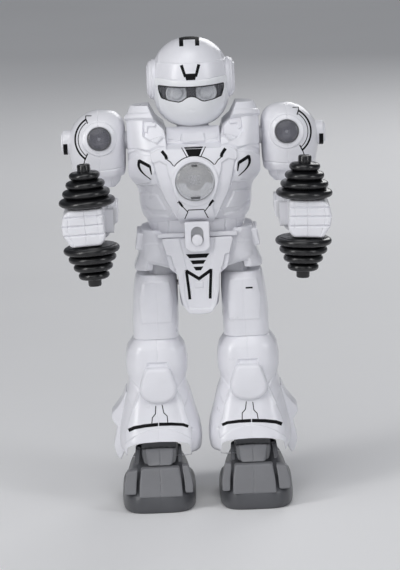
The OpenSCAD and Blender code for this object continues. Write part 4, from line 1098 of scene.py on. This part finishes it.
nose = [pillow([(-2.9, zu(222.5, -15)), (2.9, zu(222.5, -15)), (2.3, zu(232.0, -15)), (-2.3, zu(232.0, -15))], -15.4, -12, 0.6, rc=0.6, ds=0.6, rings=4)]
for s in (1, -1):
    nose.append(pillow([(s * a, zu(b, -14)) for a, b in [(14.2, 231.6), (18.0, 231.8), (17.9, 228.6), (16.6, 224.4), (14.6, 223.6)]], -13.6, -11.4, 0.4, rc=0.6, ds=0.6, rings=4))
emit("eye_bridge", boolean(merge(nose), head_in, "INTERSECT"), SHADE, "head", ())

# marks of the helmet
H = head_tree
marks = [
    quad(H, (-3.3, 237.2), (3.3, 237.2), (2.5, 233.6), (-2.5, 233.6)),
    ribbon(H, [(-4.9, 242.2), (-2.9, 235.4)], 1.7, w2=1.5),
    ribbon(H, [(4.9, 242.2), (2.9, 235.4)], 1.7, w2=1.5),
    quad(H, (-5.6, 259.4), (5.6, 259.4), (5.6, 256.9), (-5.6, 256.9), ds=0.25),
    quad(H, (-5.6, 257.1), (-3.3, 257.1), (-3.3, 253.0), (-5.6, 253.0), ds=0.25),
    quad(H, (3.3, 257.1), (5.6, 257.1), (5.6, 253.0), (3.3, 253.0), ds=0.25),
]
emit("helmet_print", merge(marks), INK, "head", (), smooth=False)

# ------------------------------------------------------------------ arms
LC = (52.6, 203.3)


def shoulder_relief(x, u, P):
    r = np.hypot(x - LC[0], u - LC[1])
    h = 0.55 * sstep((9.7 - r) / 0.5) - 0.9 * sstep((6.75 - r) / 0.4)
    h -= 0.25 * sstep(1 - np.abs(r - 9.9) / 0.35)
    h += groove(x, u, [(52.9, 180), (52.9, 230)], 0.22, 0.32) * sstep((r - 6.9) / 0.3)
    # facet under the bezel
    h += groove(x, u, [(39, 187.6), (45, 186.2), (52.9, 185.4), (68, 186.4)], 0.3, 0.6)
    return h


SH = [
    (187.0, 39.6, 67.6, -14.2, 14.2, 2.7, 2.7),
    (188.2, 39.0, 68.0, -15.0, 15.0, 2.7, 2.7),
    (194, 38.4, 69.2, -16.6, 16.6, 2.5, 2.5),
    (200, 38.2, 70.3, -17.6, 17.6, 2.4, 2.4),
    (206, 38.2, 70.6, -17.9, 17.9, 2.35, 2.35),
    (211, 38.2, 69.6, -17.2, 17.2, 2.3, 2.3),
    (215, 38.4, 67.6, -15.6, 15.6, 2.3, 2.3),
    (218.5, 39.6, 64.8, -13.0, 13.0, 2.3, 2.3),
    (221.5, 42.2, 60.8, -9.2, 9.2, 2.3, 2.3),
    (223.3, 46.2, 56.6, -5.0, 5.0, 2.2, 2.2),
    (223.85, 49.8, 53.6, -1.6, 1.6, 2.1, 2.1),
]


def lean_m():
    c = Vector((59.5, -50, 166.2))
    return Matrix.Translation(c) @ Matrix.Rotation(math.radians(3), 4, "Y") @ Matrix.Translation(-c)


def fist_relief(x, u, P):
    h = np.zeros(np.shape(x))
    for k in (159.4, 154.4, 149.3):
        h += groove(x, u, [(52.0, k), (74.0, k + 0.3)], 1.0, 0.8)
    h += groove(x, u, [(61.6, 140), (61.2, 170)], 0.35, 0.4)
    h += groove(x, u, [(70.2, 165), (71.2, 152), (68.6, 144)], 0.4, 0.5)
    h += groove(x, u, [(54.2, 165), (54.2, 148)], 0.35, 0.5)
    return h


zs_sh = np.concatenate([np.linspace(187, 216, 100), np.linspace(216.3, 223.85, 40)])
sh = loft(SH, 0, 300, shoulder_relief, zs=zs_sh, front_share=0.7)
lamp_c = np.array([LC[0], -17.4, zu(LC[1], -17.4)])
lamp_dir = Vector((0, -CE, SE))
sh_cut = lathe([(6.62, -3.0), (6.62, 12)], 96, tuple(lamp_c), lamp_dir)
hollow = loft([(180, 42, 65.4, -11.8, 11.8, 2.5, 2.5), (206, 40.6, 68.2, -15.2, 15.2, 2.4, 2.4), (217, 44, 62, -9.5, 9.5, 2.3, 2.3)], 12, 80)
sh = cut(sh, sh_cut, hollow)
sh_tree = bvh(sh)
cap_x = lathe(rounded([(0.01, -3.0), (6.9, -3.0), (6.9, 2.3), (5.9, 3.2), (5.2, 3.2), (5.0, 3.9), (0.01, 3.9)], 0.5, 4), 72, (70.6, 0, 206), (1, 0, 0))

upper = loft([
    (180.7, 44.6, 61.8, -8.6, 9.4, 5, 5), (181.2, 44.2, 62.4, -9.0, 9.8, 5, 5), (184.0, 41.9, 64.2, -10.4, 10.9, 5, 5), (186.9, 41.3, 65.8, -11.6, 11.8, 5, 5)], 24, 160,
    lambda x, u, P: groove(x, u, [(47.0, 176), (45.6, 190)], 0.3, 0.5))
tongue = pillow([(51.1, 181), (58.9, 181), (58.9, 165), (57, 162), (53, 162), (51.1, 165)], -3.3, 6.9, 0.5, ds=0.8, rings=4)
peg = lathe(rounded([(0.01, -7.0), (2.5, -7.0), (2.5, 7.0), (0.01, 7.0)], 0.3, 3), 40, (55, 2, 168), (1, 0, 0))
knuckle = lathe(rounded([(0.01, -3.9), (6.1, -3.9), (6.1, 3.9), (0.01, 3.9)], 0.4, 3), 64, (55, 2, 168), (1, 0, 0))

fist_o = [(51.2, 176.6), (69.4, 176.6), (73.0, 174.6), (74.8, 168.2), (74.2, 162.8), (70.2, 156.0), (53.6, 156.0), (50.9, 159.4)]
fist = pillow(fist_o, -61.3, -37.9, 1.5, fist_relief, centre=(62.3, 166), ds=0.45, rings=26, rc=1.6, bulge=0.0)
fist = cut(fist.moved(lean_m()), lathe([(3.42, -40), (3.42, 40)], 64, (59.5, -50, 166.2), (math.sin(math.radians(3)), 0, math.cos(math.radians(3)))))
steps = [
    pillow([(50.8, 175.6), (71.2, 175.6), (71.2, 159.6), (68, 157.8), (52.6, 157.8), (50.8, 160)], -43.0, -12.0, 0.8, centre=(61, 167), rings=4),
    pillow([(48.4, 174.8), (54, 174.8), (54, 157.2), (50.4, 157.2), (48.4, 159.4)], -40.4, -10.0, 0.6, centre=(51.2, 166), rings=4),
    pillow([(46.1, 174.2), (54, 174.2), (54, 160.0), (47.6, 160.0), (46.1, 161.6)], -37.4, -8.0, 0.6, centre=(50, 167), rings=4),
    pillow([(43.8, 173.4), (50, 173.4), (50, 163.8), (45, 163.8), (43.8, 165)], -33.8, -1.5, 0.6, centre=(47, 168.6), rings=4),
]
fore = prism(rpoly([(-42, 160.0), (-42, 173.6), (-12, 174.8), (-4, 173.4), (-2, 173.7), (6, 173.7), (8.9, 170), (8.9, 164.2), (5, 160.6), (-18, 159.2)], 1.2, 3), "x", 46.1, 71.4)
fore_slot = prism([(-8.2, 150), (20, 150), (20, 190), (-8.2, 190)], "x", 50.6, 59.4)
bore = lathe([(3.42, -40), (3.42, 40)], 64, (59.5, -50, 166.2), (math.sin(math.radians(3)), 0, math.cos(math.radians(3))))
fore = cut(fore, fore_slot, lathe([(2.58, -7.2), (2.58, 7.2)], 40, (55, 2, 168), (1, 0, 0)))


def weights(n_disc=4):
    pr = [(0.01, 0), (13.2, 0)]
    for k in range(n_disc):
        r, z = 15.7 - 2.35 * k, 4.86 * k
        t = 2.43
        for a in np.linspace(-90, 90, 11):
            pr.append((r - 2.1 + 2.1 * math.cos(math.radians(a)), z + t + (t - 0.42) * math.sin(math.radians(a))))
    z = 4.86 * 4
    pr += [(4.6, z - 0.2), (3.75, z + 0.1), (3.7, z + 3.0), (3.3, z + 3.7), (2.4, z + 3.8), (2.2, z + 3.2), (0.01, z + 3.2)]
    return pr


ax = Vector((math.sin(math.radians(3)), 0, math.cos(math.radians(3))))
bc = Vector((59.5, -50, 166.2))
top_w = lathe(weights(), 144, tuple(bc + ax * 11.05), ax)
bot_w = lathe(weights(), 144, tuple(bc - ax * 11.05), -ax)
bar = lathe([(3.33, -22), (3.33, 22)], 64, tuple(bc), ax)
lamp_lens = lathe([(6.5, -1.6), (6.5, 0.1), (6.35, 0.35), (5.4, 0.75), (4, 1.15), (2, 1.4), (0.01, 1.5)], 96, tuple(lamp_c), lamp_dir)
lamp_ring = cut(lathe(rounded([(0.01, -2.0), (6.6, -2.0), (6.6, 0.55), (5.75, 0.55), (5.6, -2.0), (0.01, -2.0)], 0.15, 3), 96, tuple(lamp_c), lamp_dir), lathe([(5.7, -5), (5.7, 5)], 96, tuple(lamp_c), lamp_dir))
lamp_seat = lathe(rounded([(0.01, -3.2), (6.5, -3.2), (6.5, -1.7), (4.6, -1.9), (2.6, -2.5), (1.0, -2.6), (0.9, -1.5), (0.01, -1.4)], 0.2, 3), 72, tuple(lamp_c), lamp_dir)

for s, side in ((1, "left"), (-1, "right")):
    q = (lambda g: g) if s > 0 else (lambda g: g.mirror())
    arm, farm, bell = side + "_arm", side + "_forearm", side + "_dumbbell"

    def split_x(geo, x0):
        out = []
        for sg in (1, -1):
            me = mesh_of(geo)
            bm = bmesh.new()
            bm.from_mesh(me)
            bmesh.ops.bisect_plane(bm, geom=bm.verts[:] + bm.edges[:] + bm.faces[:], dist=1e-5, plane_co=(x0, 0, 0), plane_no=(sg, 0, 0), clear_outer=True)
            bm.to_mesh(me)
            bm.free()
            out.append(geo_of(me))
            bpy.data.meshes.remove(me)
        return out

    inn, outr = split_x(sh, 52.9)
    axle = lathe([(5.0, -19.5), (5.0, -12)], 48, (52, 0, 206), (1, 0, 0))
    emit("shoulder_inner_shell_" + side, q(inn.join(axle)), WHITE2, arm, ["shoulder_inner_" + side])
    emit("shoulder_outer_shell_" + side, q(outr.join(cap_x)), WHITE2, arm, ["shoulder_outer_" + side])
    emit("shoulder_lamp_" + side, q(lamp_lens), LAMP, arm, ["shoulder_lens_" + side])
    emit("shoulder_lamp_ring_" + side, q(lamp_ring), GREY, arm, ())
    emit("shoulder_lamp_seat_" + side, q(lamp_seat), EYE, arm, ())
    emit("upper_arm_block_" + side, q(upper.join(tongue).join(knuckle).join(peg)), WHITE2, arm, ["upper_arm_" + side])
    emit("forearm_shell_" + side, q(merge([cut(g, bore, fore_slot) for g in steps] + [fore])), WHITE2, farm, ["forearm_" + side])
    emit("fist_shell_" + side, q(fist), WHITE2, farm, ())
    emit("dumbbell_upper_" + side, q(top_w.join(bar)), BLACK, bell, ["dumbbell_top_" + side])
    emit("dumbbell_lower_" + side, q(bot_w), BLACK, bell, ["dumbbell_bottom_" + side])
    # printed arc beside the lamp
    S = bvh(q(sh))
    c = (s * LC[0], LC[1])

    def ang(a):
        return a if s < 0 else 180 - a

    mk, fn = [], []
    mk.append(ribbon(S, arc_pts(c[0], c[1], 13.5, ang(122), ang(232)), 1.0))
    fn.append(ribbon(S, arc_pts(c[0], c[1], 11.8, ang(126), ang(229)), 0.45))

    def pol(r, a):
        return (c[0] + r * math.cos(math.radians(ang(a))), c[1] + r * math.sin(math.radians(ang(a))))

    mk.append(ribbon(S, [pol(14.2, 121), pol(11.0, 124)], 0.7))
    fn.append(ribbon(S, [pol(14.2, 120.5), pol(15.4, 117.5), pol(14.0, 106)], 0.5))
    mk.append(ribbon(S, [pol(14.2, 233), pol(10.4, 229)], 0.7))
    fn.append(ribbon(S, [pol(14.2, 233), pol(17.3, 236.5), pol(17.2, 231.5)], 0.5))
    emit("shoulder_print_" + side, merge(mk), INK, arm, (), smooth=False)
    emit("shoulder_print_fine_" + side, merge(fn), INK_FINE, arm, (), smooth=False)
    # black edge on the outer cap
    bandg = lathe([(6.95, 0.2), (6.98, 2.2), (6.7, 2.6)], 72, (70.6, 0, 206), (1, 0, 0))
    keep = [f for f in bandg.f if all(198.6 < bandg.v[i][2] < 206.4 and bandg.v[i][1] < 0 for i in f)]
    emit("shoulder_cap_print_" + side, q(Geo(bandg.v + np.array([0.06, -0.06, 0]), keep)), INK, arm, (), smooth=False)

# ------------------------------------------------------------------ legs
def thigh_relief(x, u, P):
    h = groove(x, u, [(24.6, 60), (24.6, 130)], 0.15, 0.3)
    h += plate(x, u, [(17, 122), (32.5, 122), (34.4, 112), (33.4, 99), (16.4, 99), (15.0, 112)], 0.4, 0.8)
    return h


THIGH = [
    (94, 12.8, 38.6, -17.0, 16.2, 3.6, 3.8),
    (104, 12.4, 38.6, -18.4, 17.2, 3.4, 3.6),
    (113, 12.3, 38.1, -19.2, 17.7, 3.3, 3.6),
    (119, 12.3, 37.6, -19.3, 17.6, 3.3, 3.6),
    (126, 12.4, 36.6, -18.6, 16.6, 3.3, 3.6),
    (129.2, 12.6, 35.8, -17.4, 15.4, 3.2, 3.4),
    (130.6, 13.4, 34.8, -16.2, 14.2, 3.2, 3.4),
]
thigh = loft(THIGH, 90, 260, thigh_relief)
thigh = boolean(thigh, lathe([(7.6, 11), (7.6, 18.5)], 64, (0, 0, 126.5), (1, 0, 0)))
hip_block = loft([(128.5, 12.35, 28.0, -12.6, 11, 3.2, 3.2), (137, 12.35, 28.0, -12.2, 10.6, 3.2, 3.2), (142, 12.35, 27.9, -9.5, 9.5, 3, 3), (147, 12.35, 27.8, -6.5, 6.5, 3, 3)], 20, 120)
hip_block = boolean(hip_block, lathe([(7.6, 11), (7.6, 18.5)], 64, (0, 0, 126.5), (1, 0, 0)))
hip_boss = lathe([(5.0, 12.35), (5.0, 28.4)], 64, (0, 0, 146), (1, 0, 0))

KNEE = [(18.9, 73.2), (32.3, 73.2), (35.0, 66.5), (36.5, 60.5), (34.9, 56.0), (30, 53.2), (25.6, 52.6), (21.2, 53.2), (16.3, 56.0), (14.7, 60.5), (16.2, 66.5)]


def boot_relief(x, u, P):
    # front panel between the two ridges
    pan = [(14.4, 60), (10.2, 45), (8.0, 37.5), (8.6, 24), (45, 24), (45, 37.5), (42.6, 45), (36.8, 60), (30, 63), (20, 63)]
    h = plate(x, u, pan, 0.8, 0.9)
    # hem band
    h += 0.7 * sstep((39.2 - u + 0.022 * (x - 26) ** 2 * -1) / 0.5 + 0.5) * sstep(0.5 + sd_poly(x, u, pan) / 0.8)
    # wings beside the knee
    h += plate(x, u, [(35.6, 60), (43.6, 71.5), (43.6, 64), (42.8, 57), (40, 50)], 0.5, 0.7)
    h += plate(x, u, [(15.6, 60), (9.4, 69), (8.6, 62), (9.4, 56), (12, 50)], 0.5, 0.7)
    # cuff above the wings
    h += plate(x, u, [(7, 90), (7, 78), (9.6, 69.5), (14.6, 62), (20, 76.5), (31, 76.5), (36, 62), (42, 69.5), (45, 78), (45, 90)], 0.35, 0.6)
    h -= plate(x, u, [(20.5, 74.6), (30.8, 74.6), (30.8, 76.4), (20.5, 76.4)], 0.7, 0.6)
    h += groove(x, u, [(25.6, 90), (25.6, 74)], 0.2, 0.3)
    h += groove(x, u, [(26.2, 53), (26.2, 30)], 0.12, 0.28)
    # dimple
    h -= 0.8 * sstep(1 - np.hypot((x - 7.4) / 1.1, (u - 38.0) / 1.6))
    return h


BOOT = [
    (29.6, 2.9, 46.6, -26.4, 22.4, 3.4, 3.6),
    (31, 2.4, 48.2, -27.8, 23.6, 3.4, 3.6),
    (35.5, 1.9, 49.0, -27.6, 23.4, 3.3, 3.6),
    (42.6, 2.7, 48.4, -26.0, 22.6, 3.2, 3.6),
    (50.8, 5.0, 46.8, -24.0, 21.8, 3.1, 3.6),
    (61, 7.6, 44.7, -22.0, 21.2, 3.0, 3.6),
    (68, 9.8, 42.6, -21.2, 20.6, 3.0, 3.6),
    (71, 9.6, 42.4, -21.0, 20.4, 3.0, 3.6),
    (75, 8.6, 43.3, -20.8, 20.0, 3.0, 3.6),
    (80, 8.3, 43.6, -20.4, 19.6, 3.0, 3.6),
    (87, 9.4, 42.8, -19.6, 18.8, 3.1, 3.4),
    (92, 12.4, 39.8, -17.4, 16.8, 3.2, 3.4),
    (93.6, 13.8, 38.6, -16.2, 15.8, 3.2, 3.4),
]
boot = loft(BOOT, 150, 340, boot_relief, front_share=0.72)
boot_in = loft([(20, 6.4, 44.4, -25.0, 20.2, 3.4, 3.6), (33, 6.2, 44.6, -24.9, 20.6, 3.4, 3.6), (50, 8.6, 43, -21.2, 18.6, 3.4, 3.6), (66, 12, 40, -18, 17, 3.4, 3.6), (76, 15, 37, -14, 14, 3.4, 3.6)], 12, 120)
arch_u = [(8.4, 24), (9.0, 29.6), (12, 30.9), (18, 31.6), (26, 31.9), (34, 31.6), (40, 30.9), (44.2, 29.6), (44.9, 24)]
arch = prism_view(rpoly(arch_u, 1.2, 4), -60, -8, None)
boot = cut(boot, boot_in, arch, lathe([(2.55, 0), (2.55, 60)], 40, (0, 0, 42), (1, 0, 0)))
fin = pillow([(43.8, 64.5), (46.4, 58.0), (49.0, 54.4), (52.6, 50.0), (53.2, 48.2), (52.4, 45.4), (49.8, 42.4), (51.0, 37.4), (52.4, 31.0), (50.6, 25.4), (48.9, 23.2), (47.4, 25.8), (45.6, 31.0), (44.4, 34.0), (41.5, 45)],
             -7.9, 12.9, 0.9, centre=(46.6, 43), ds=0.6, rings=10, rc=1.6, slope=(0.55, 0))
fin_groove = None
knee = pillow([(a, zu(b, -25.6)) for a, b in KNEE], -25.4, -18.6, 2.2, None, centre=(25.6, zu(63, -25.6)), ds=0.5, rings=16, rc=2.2, bulge=0.9)


def groove_geo(geo, f):
    v = geo.v.copy()
    front = v[:, 1] < v[:, 1].min() + 4.0
    v[front, 1] -= f(v[front, 0], U_of(v[front]), v[front])
    return Geo(v, geo.f)


calf = pillow([(44.5, 52), (46.5, 51.0), (49.6, 57), (51.0, 64), (50.2, 71), (48.0, 76.5), (44.5, 79), (43.0, 66)], 2.0, 15.8, 1.2, centre=(46.6, 65), ds=0.8, rings=6, rc=1.8)

# foot
def foot_relief(x, u, P):
    h = groove(x, u, [(26.2, -5), (26.2, 16)], 0.15, 0.3)
    return h


FOOT = [
    (0.0, 7.6, 47.2, -45.2, 28.6, 4.2, 3.6),
    (0.9, 6.9, 48.0, -46.2, 29.6, 4.2, 3.6),
    (4.0, 6.7, 48.3, -46.8, 29.9, 4.2, 3.6),
    (8.5, 7.0, 48.0, -46.4, 29.6, 4.2, 3.6),
    (11.0, 7.8, 47.2, -44.8, 29.0, 4.2, 3.6),
    (12.2, 9.2, 46.0, -42.6, 28.4, 4.2, 3.6),
    (17.0, 10.8, 44.2, -38.6, 27.4, 4.2, 3.6),
    (21.0, 12.4, 42.6, -32.6, 24.2, 4.0, 3.6),
    (26.0, 14.8, 39.8, -27.0, 18.0, 4.0, 3.6),
    (30.5, 16.4, 38.4, -21.4, 14.4, 4.0, 3.6),
    (33.6, 18.2, 37.0, -14.6, 12.6, 4.0, 3.6),
]
foot = loft(FOOT, 90, 260, foot_relief)
pockets = [prism([(x - 2.8, -1), (x + 2.8, -1), (x + 2.8, 10), (x - 2.8, 10)], "y", 6.8, 17.2) for x in (20, 35)]
sole_pts = [(10, -37), (14, -42), (41, -42), (45, -37), (45, 3), (10, 3)]
foot = cut(foot, *pockets)
foot = cut(foot, prism(sole_pts, "z", -1, 0.6))


def swung(geo, deg, y0, z0, k=1.012):
    """The piece turned about an X axis and grown a little, as a cutter for running clearance."""
    c = geo.v.mean(0)
    w = (geo.v - c) * k + c
    a = math.radians(deg)
    y, z = w[:, 1] - y0, w[:, 2] - z0
    o = w.copy()
    o[:, 1] = y0 + y * math.cos(a) - z * math.sin(a)
    o[:, 2] = z0 + y * math.sin(a) + z * math.cos(a)
    return Geo(o, geo.f)


boot = cut(boot, swung(foot, 8.4, 0, 42), swung(foot, -8.4, 0, 42))
ankle = pillow([(19.1, 32), (32.9, 32), (32.9, 44), (31, 46.4), (21, 46.4), (19.1, 44)], -5.4, 5.4, 0.8, rings=4)
ankle_pin = lathe(rounded([(0.01, 3.7), (2.45, 3.7), (2.45, 47.9), (0.01, 47.9)], 0.3, 3), 40, (0, 0, 42), (1, 0, 0))


def tilt(pts_u, y_top, y_low, u_top, u_low, thick, r=0.6, rc=1.2, relief=None, rings=8, bulge=0.0, ds=0.5):
    """A tilted slab over an (X, U) outline whose face runs from y_top at u_top to y_low at u_low."""
    k = (y_low - y_top) / (u_low - u_top)
    o = []
    for a, b in pts_u:
        y = y_top + k * (b - u_top)
        o.append((a, zu(b, y)))
    c = np.mean(np.array(o), 0)
    uc = CE * c[1]
    yc = y_top + k * (np.mean([b for a, b in pts_u]) - u_top)
    # slope in z: dy/dz
    zt, zl_ = zu(u_top, y_top), zu(u_low, y_low)
    sl = (y_top - y_low) / (zt - zl_)
    face = y_low + sl * (c[1] - zl_)
    g = pillow(o, face, face + thick, r, relief, centre=tuple(c), ds=ds, rings=rings, rc=rc, slope=(0, sl), bulge=bulge)
    # the back follows the slope too
    v = g.v.copy()
    n = len(dense(rpoly(o, rc), ds))
    v[:n, 1] = face + thick + sl * (v[:n, 2] - c[1])
    v[-1, 1] = face + thick
    return outward(Geo(v, g.f))


F = {}
F["tongue"] = tilt([(18.0, 28.6), (34.6, 28.6), (34.0, 22.5), (33.2, 18.4), (19.4, 18.4), (18.6, 22.5)], -26.4, -36.2, 28.6, 18.4, 6.0, 1.1, 1.8, lambda x, u, P: groove(x, u, [(26.3, 15), (26.3, 32)], 0.25, 0.35), rings=10, bulge=0.5)
F["bracket"] = tilt([(16.6, 31.6), (36.4, 31.6), (36.4, 24), (35.0, 19.6), (17.6, 19.6), (16.6, 24)], -23.6, -33.6, 31.6, 19.6, 5.0, 0.7, 1.6, rings=5)
F["bar_out"] = tilt([(36.9, 29.6), (39.8, 29.0), (40.6, 20.5), (38.2, 19.8)], -21.0, -32.4, 29.6, 19.8, 6.0, 0.5, 0.8, rings=4)
F["bar_in"] = tilt([(14.1, 28.6), (16.2, 29.4), (16.0, 20), (13.6, 20.4)], -21.0, -32.4, 29.6, 20.0, 6.0, 0.5, 0.8, rings=4)
F["toe_mid"] = tilt([(15.6, 17.4), (36.9, 17.4), (38.2, 9.2), (38.6, 1.0), (14.0, 1.0), (14.4, 9.2)], -40.0, -46.6, 17.4, 1.0, 6.0, 0.9, 1.2, lambda x, u, P: groove(x, u, [(26.2, -5), (26.2, 20)], 0.3, 0.4), rings=10)
F["toe_out"] = tilt([(38.9, 16.8), (44.8, 16.2), (46.8, 9.0), (46.6, 3.0), (40.2, 3.0), (39.8, 9.0)], -38.4, -44.6, 16.8, 3.0, 6.0, 0.8, 0.9, rings=6)
F["toe_in"] = tilt([(14.0, 18.2), (10.4, 18.4), (8.2, 10.0), (8.2, 3.0), (12.6, 3.0), (12.9, 9.0)], -38.4, -44.6, 18.0, 3.0, 6.0, 0.8, 0.9, rings=6)

# running clearance of the foot's upper pieces under the swinging boot
for k in ("tongue", "bracket", "bar_out", "bar_in"):
    F[k] = cut(F[k], swung(boot, 8.4, 0, 42, 1.0), swung(boot, -8.4, 0, 42, 1.0))

for s, side in ((1, "left"), (-1, "right")):
    q = (lambda g: g) if s > 0 else (lambda g: g.mirror())
    leg, ft = side + "_leg", side + "_foot"
    emit("thigh_shell_" + side, q(thigh), WHITE, leg, ["thigh_" + side])
    emit("thigh_hip_block_" + side, q(hip_block.join(hip_boss)), WHITE, leg, ())
    emit("boot_shell_" + side, q(boot), WHITE, leg, ["boot_" + side])
    emit("boot_fin_" + side, q(fin), WHITE, leg, ())
    emit("knee_pad_" + side, q(knee), WHITE, leg, ["knee_cap_" + side])
    emit("foot_body_" + side, q(foot), GREY, ft, ["foot_" + side])
    emit("foot_ankle_" + side, q(ankle.join(ankle_pin)), GREY, ft, ())
    emit("foot_tongue_" + side, q(F["tongue"]), GREY2, ft, ())
    emit("foot_bracket_" + side, q(F["bracket"].join(F["bar_out"]).join(F["bar_in"])), GREY, ft, ())
    emit("foot_toe_" + side, q(F["toe_mid"]), GREY2, ft, ())
    emit("foot_toe_sides_" + side, q(F["toe_out"].join(F["toe_in"])), GREY2, ft, ())
    B = bvh(q(boot), q(knee))
    mk = [ribbon(B, mir([(43.4, 38.9), (40.0, 40.3), (34, 41.2), (26.5, 41.7)], s), 2.0, w2=1.9), ribbon(B, mir([(26.0, 41.7), (19, 41.6), (12.5, 41.0), (9.6, 39.8)], s), 1.9, w2=1.6)]
    mk.append(ribbon(B, mir([(27.4, 52.2), (27.8, 47.7), (29.6, 45.6), (30.1, 41.8)], s), 0.5))
    mk.append(ribbon(B, mir([(23.8, 52.6), (23.1, 48.2), (21.2, 46.2), (21.0, 41.8)], s), 0.5))
    emit("boot_print_" + side, merge(mk), INK, leg, (), smooth=False)
    TT = bvh(q(thigh))
T1 = bvh(thigh)
mk = [ribbon(T1, [(26.0, 116.7), (29.9, 116.7)], 0.9, off=0.14)]
emit("thigh_print_left", merge(mk), INK, "left_leg", (), smooth=False)

# ------------------------------------------------------------------ stage, light and camera
def floor():
    me = bpy.data.meshes.new("floor")
    rs = [0.0, 0.4, 1.0, 2.5, 6.0, 14.0]
    v = [(0, 0, 0)] + [(r * math.cos(k / 64 * 2 * math.pi), r * math.sin(k / 64 * 2 * math.pi), 0) for r in rs[1:] for k in range(64)]
    f = [(0, 1 + k, 1 + (k + 1) % 64) for k in range(64)]
    for i in range(len(rs) - 2):
        for k in range(64):
            k2 = (k + 1) % 64
            f.append((1 + i * 64 + k, 1 + (i + 1) * 64 + k, 1 + (i + 1) * 64 + k2, 1 + i * 64 + k2))
    me.from_pydata(v, [], f)
    ob = bpy.data.objects.new("studio_floor", me)
    bpy.context.scene.collection.objects.link(ob)
    m = plastic("studio_floor", (0.86, 0.86, 0.87), 0.7, var=0.01, blotch=3, grain_scale=200)
    me.materials.append(m)


floor()
sc = bpy.context.scene
sc.view_settings.view_transform = "Standard"
world = bpy.data.worlds.new("studio")
world.use_nodes = True
world.node_tree.nodes["Background"].inputs["Color"].default_value = (0.80, 0.84, 0.92, 1)
world.node_tree.nodes["Background"].inputs["Strength"].default_value = 0.16
sc.world = world


def area(name, loc, target, size, power, col=(1, 1, 1), size_y=None):
    l = bpy.data.lights.new(name, "AREA")
    l.energy = power
    l.color = col
    l.shape = "RECTANGLE"
    l.size = size
    l.size_y = size_y or size
    o = bpy.data.objects.new(name, l)
    o.location = loc
    d = Vector(target) - Vector(loc)
    o.rotation_euler = d.to_track_quat("-Z", "Y").to_euler()
    sc.collection.objects.link(o)
    return o


area("key_left", (-0.95, -0.75, 0.62), (0, 0, 0.15), 0.3, 5.8, (1, 0.995, 0.985), 0.9)
area("key_right", (0.95, -0.75, 0.62), (0, 0, 0.15), 0.3, 3.5, (0.98, 0.985, 1), 0.9)
area("top", (0, -0.35, 1.25), (0, 0, 0.13), 0.5, 1.5, (1, 1, 1))
area("back", (0.5, 1.5, 0.9), (0, 0, 0.15), 0.8, 6.0, (1, 1, 1))
sun = bpy.data.lights.new("soft_sun", "SUN")
sun.energy = 0.72
sun.angle = 0.9
so = bpy.data.objects.new("soft_sun", sun)
so.rotation_euler = (math.radians(38), math.radians(-14), 0)
bpy.context.scene.collection.objects.link(so)
area("fill", (0, -1.7, 0.3), (0, 0, 0.12), 0.7, 1.5, (0.96, 0.975, 1))

cam_data = bpy.data.cameras.new("camera")
cam_data.lens = 270
cam_data.sensor_width = 36
cam_data.sensor_fit = "AUTO"
cam_data.clip_start = 0.1
cam_data.clip_end = 20
cam = bpy.data.objects.new("camera", cam_data)
sc.collection.objects.link(cam)
roll = math.radians(2.4)
fwd = Vector((0, CE, -SE))
right = Vector((1, 0, 0))
up0 = Vector((0, SE, CE))
Rc = right * math.cos(roll) - up0 * math.sin(roll)
Uc = right * math.sin(roll) + up0 * math.cos(roll)
target = Vector((0.0004, (-25 + YS) / 1000, 0.1256))
pos = target - fwd * 2.4
M = Matrix(((Rc.x, Uc.x, -fwd.x, pos.x), (Rc.y, Uc.y, -fwd.y, pos.y), (Rc.z, Uc.z, -fwd.z, pos.z), (0, 0, 0, 1)))
cam.matrix_world = M
sc.camera = cam
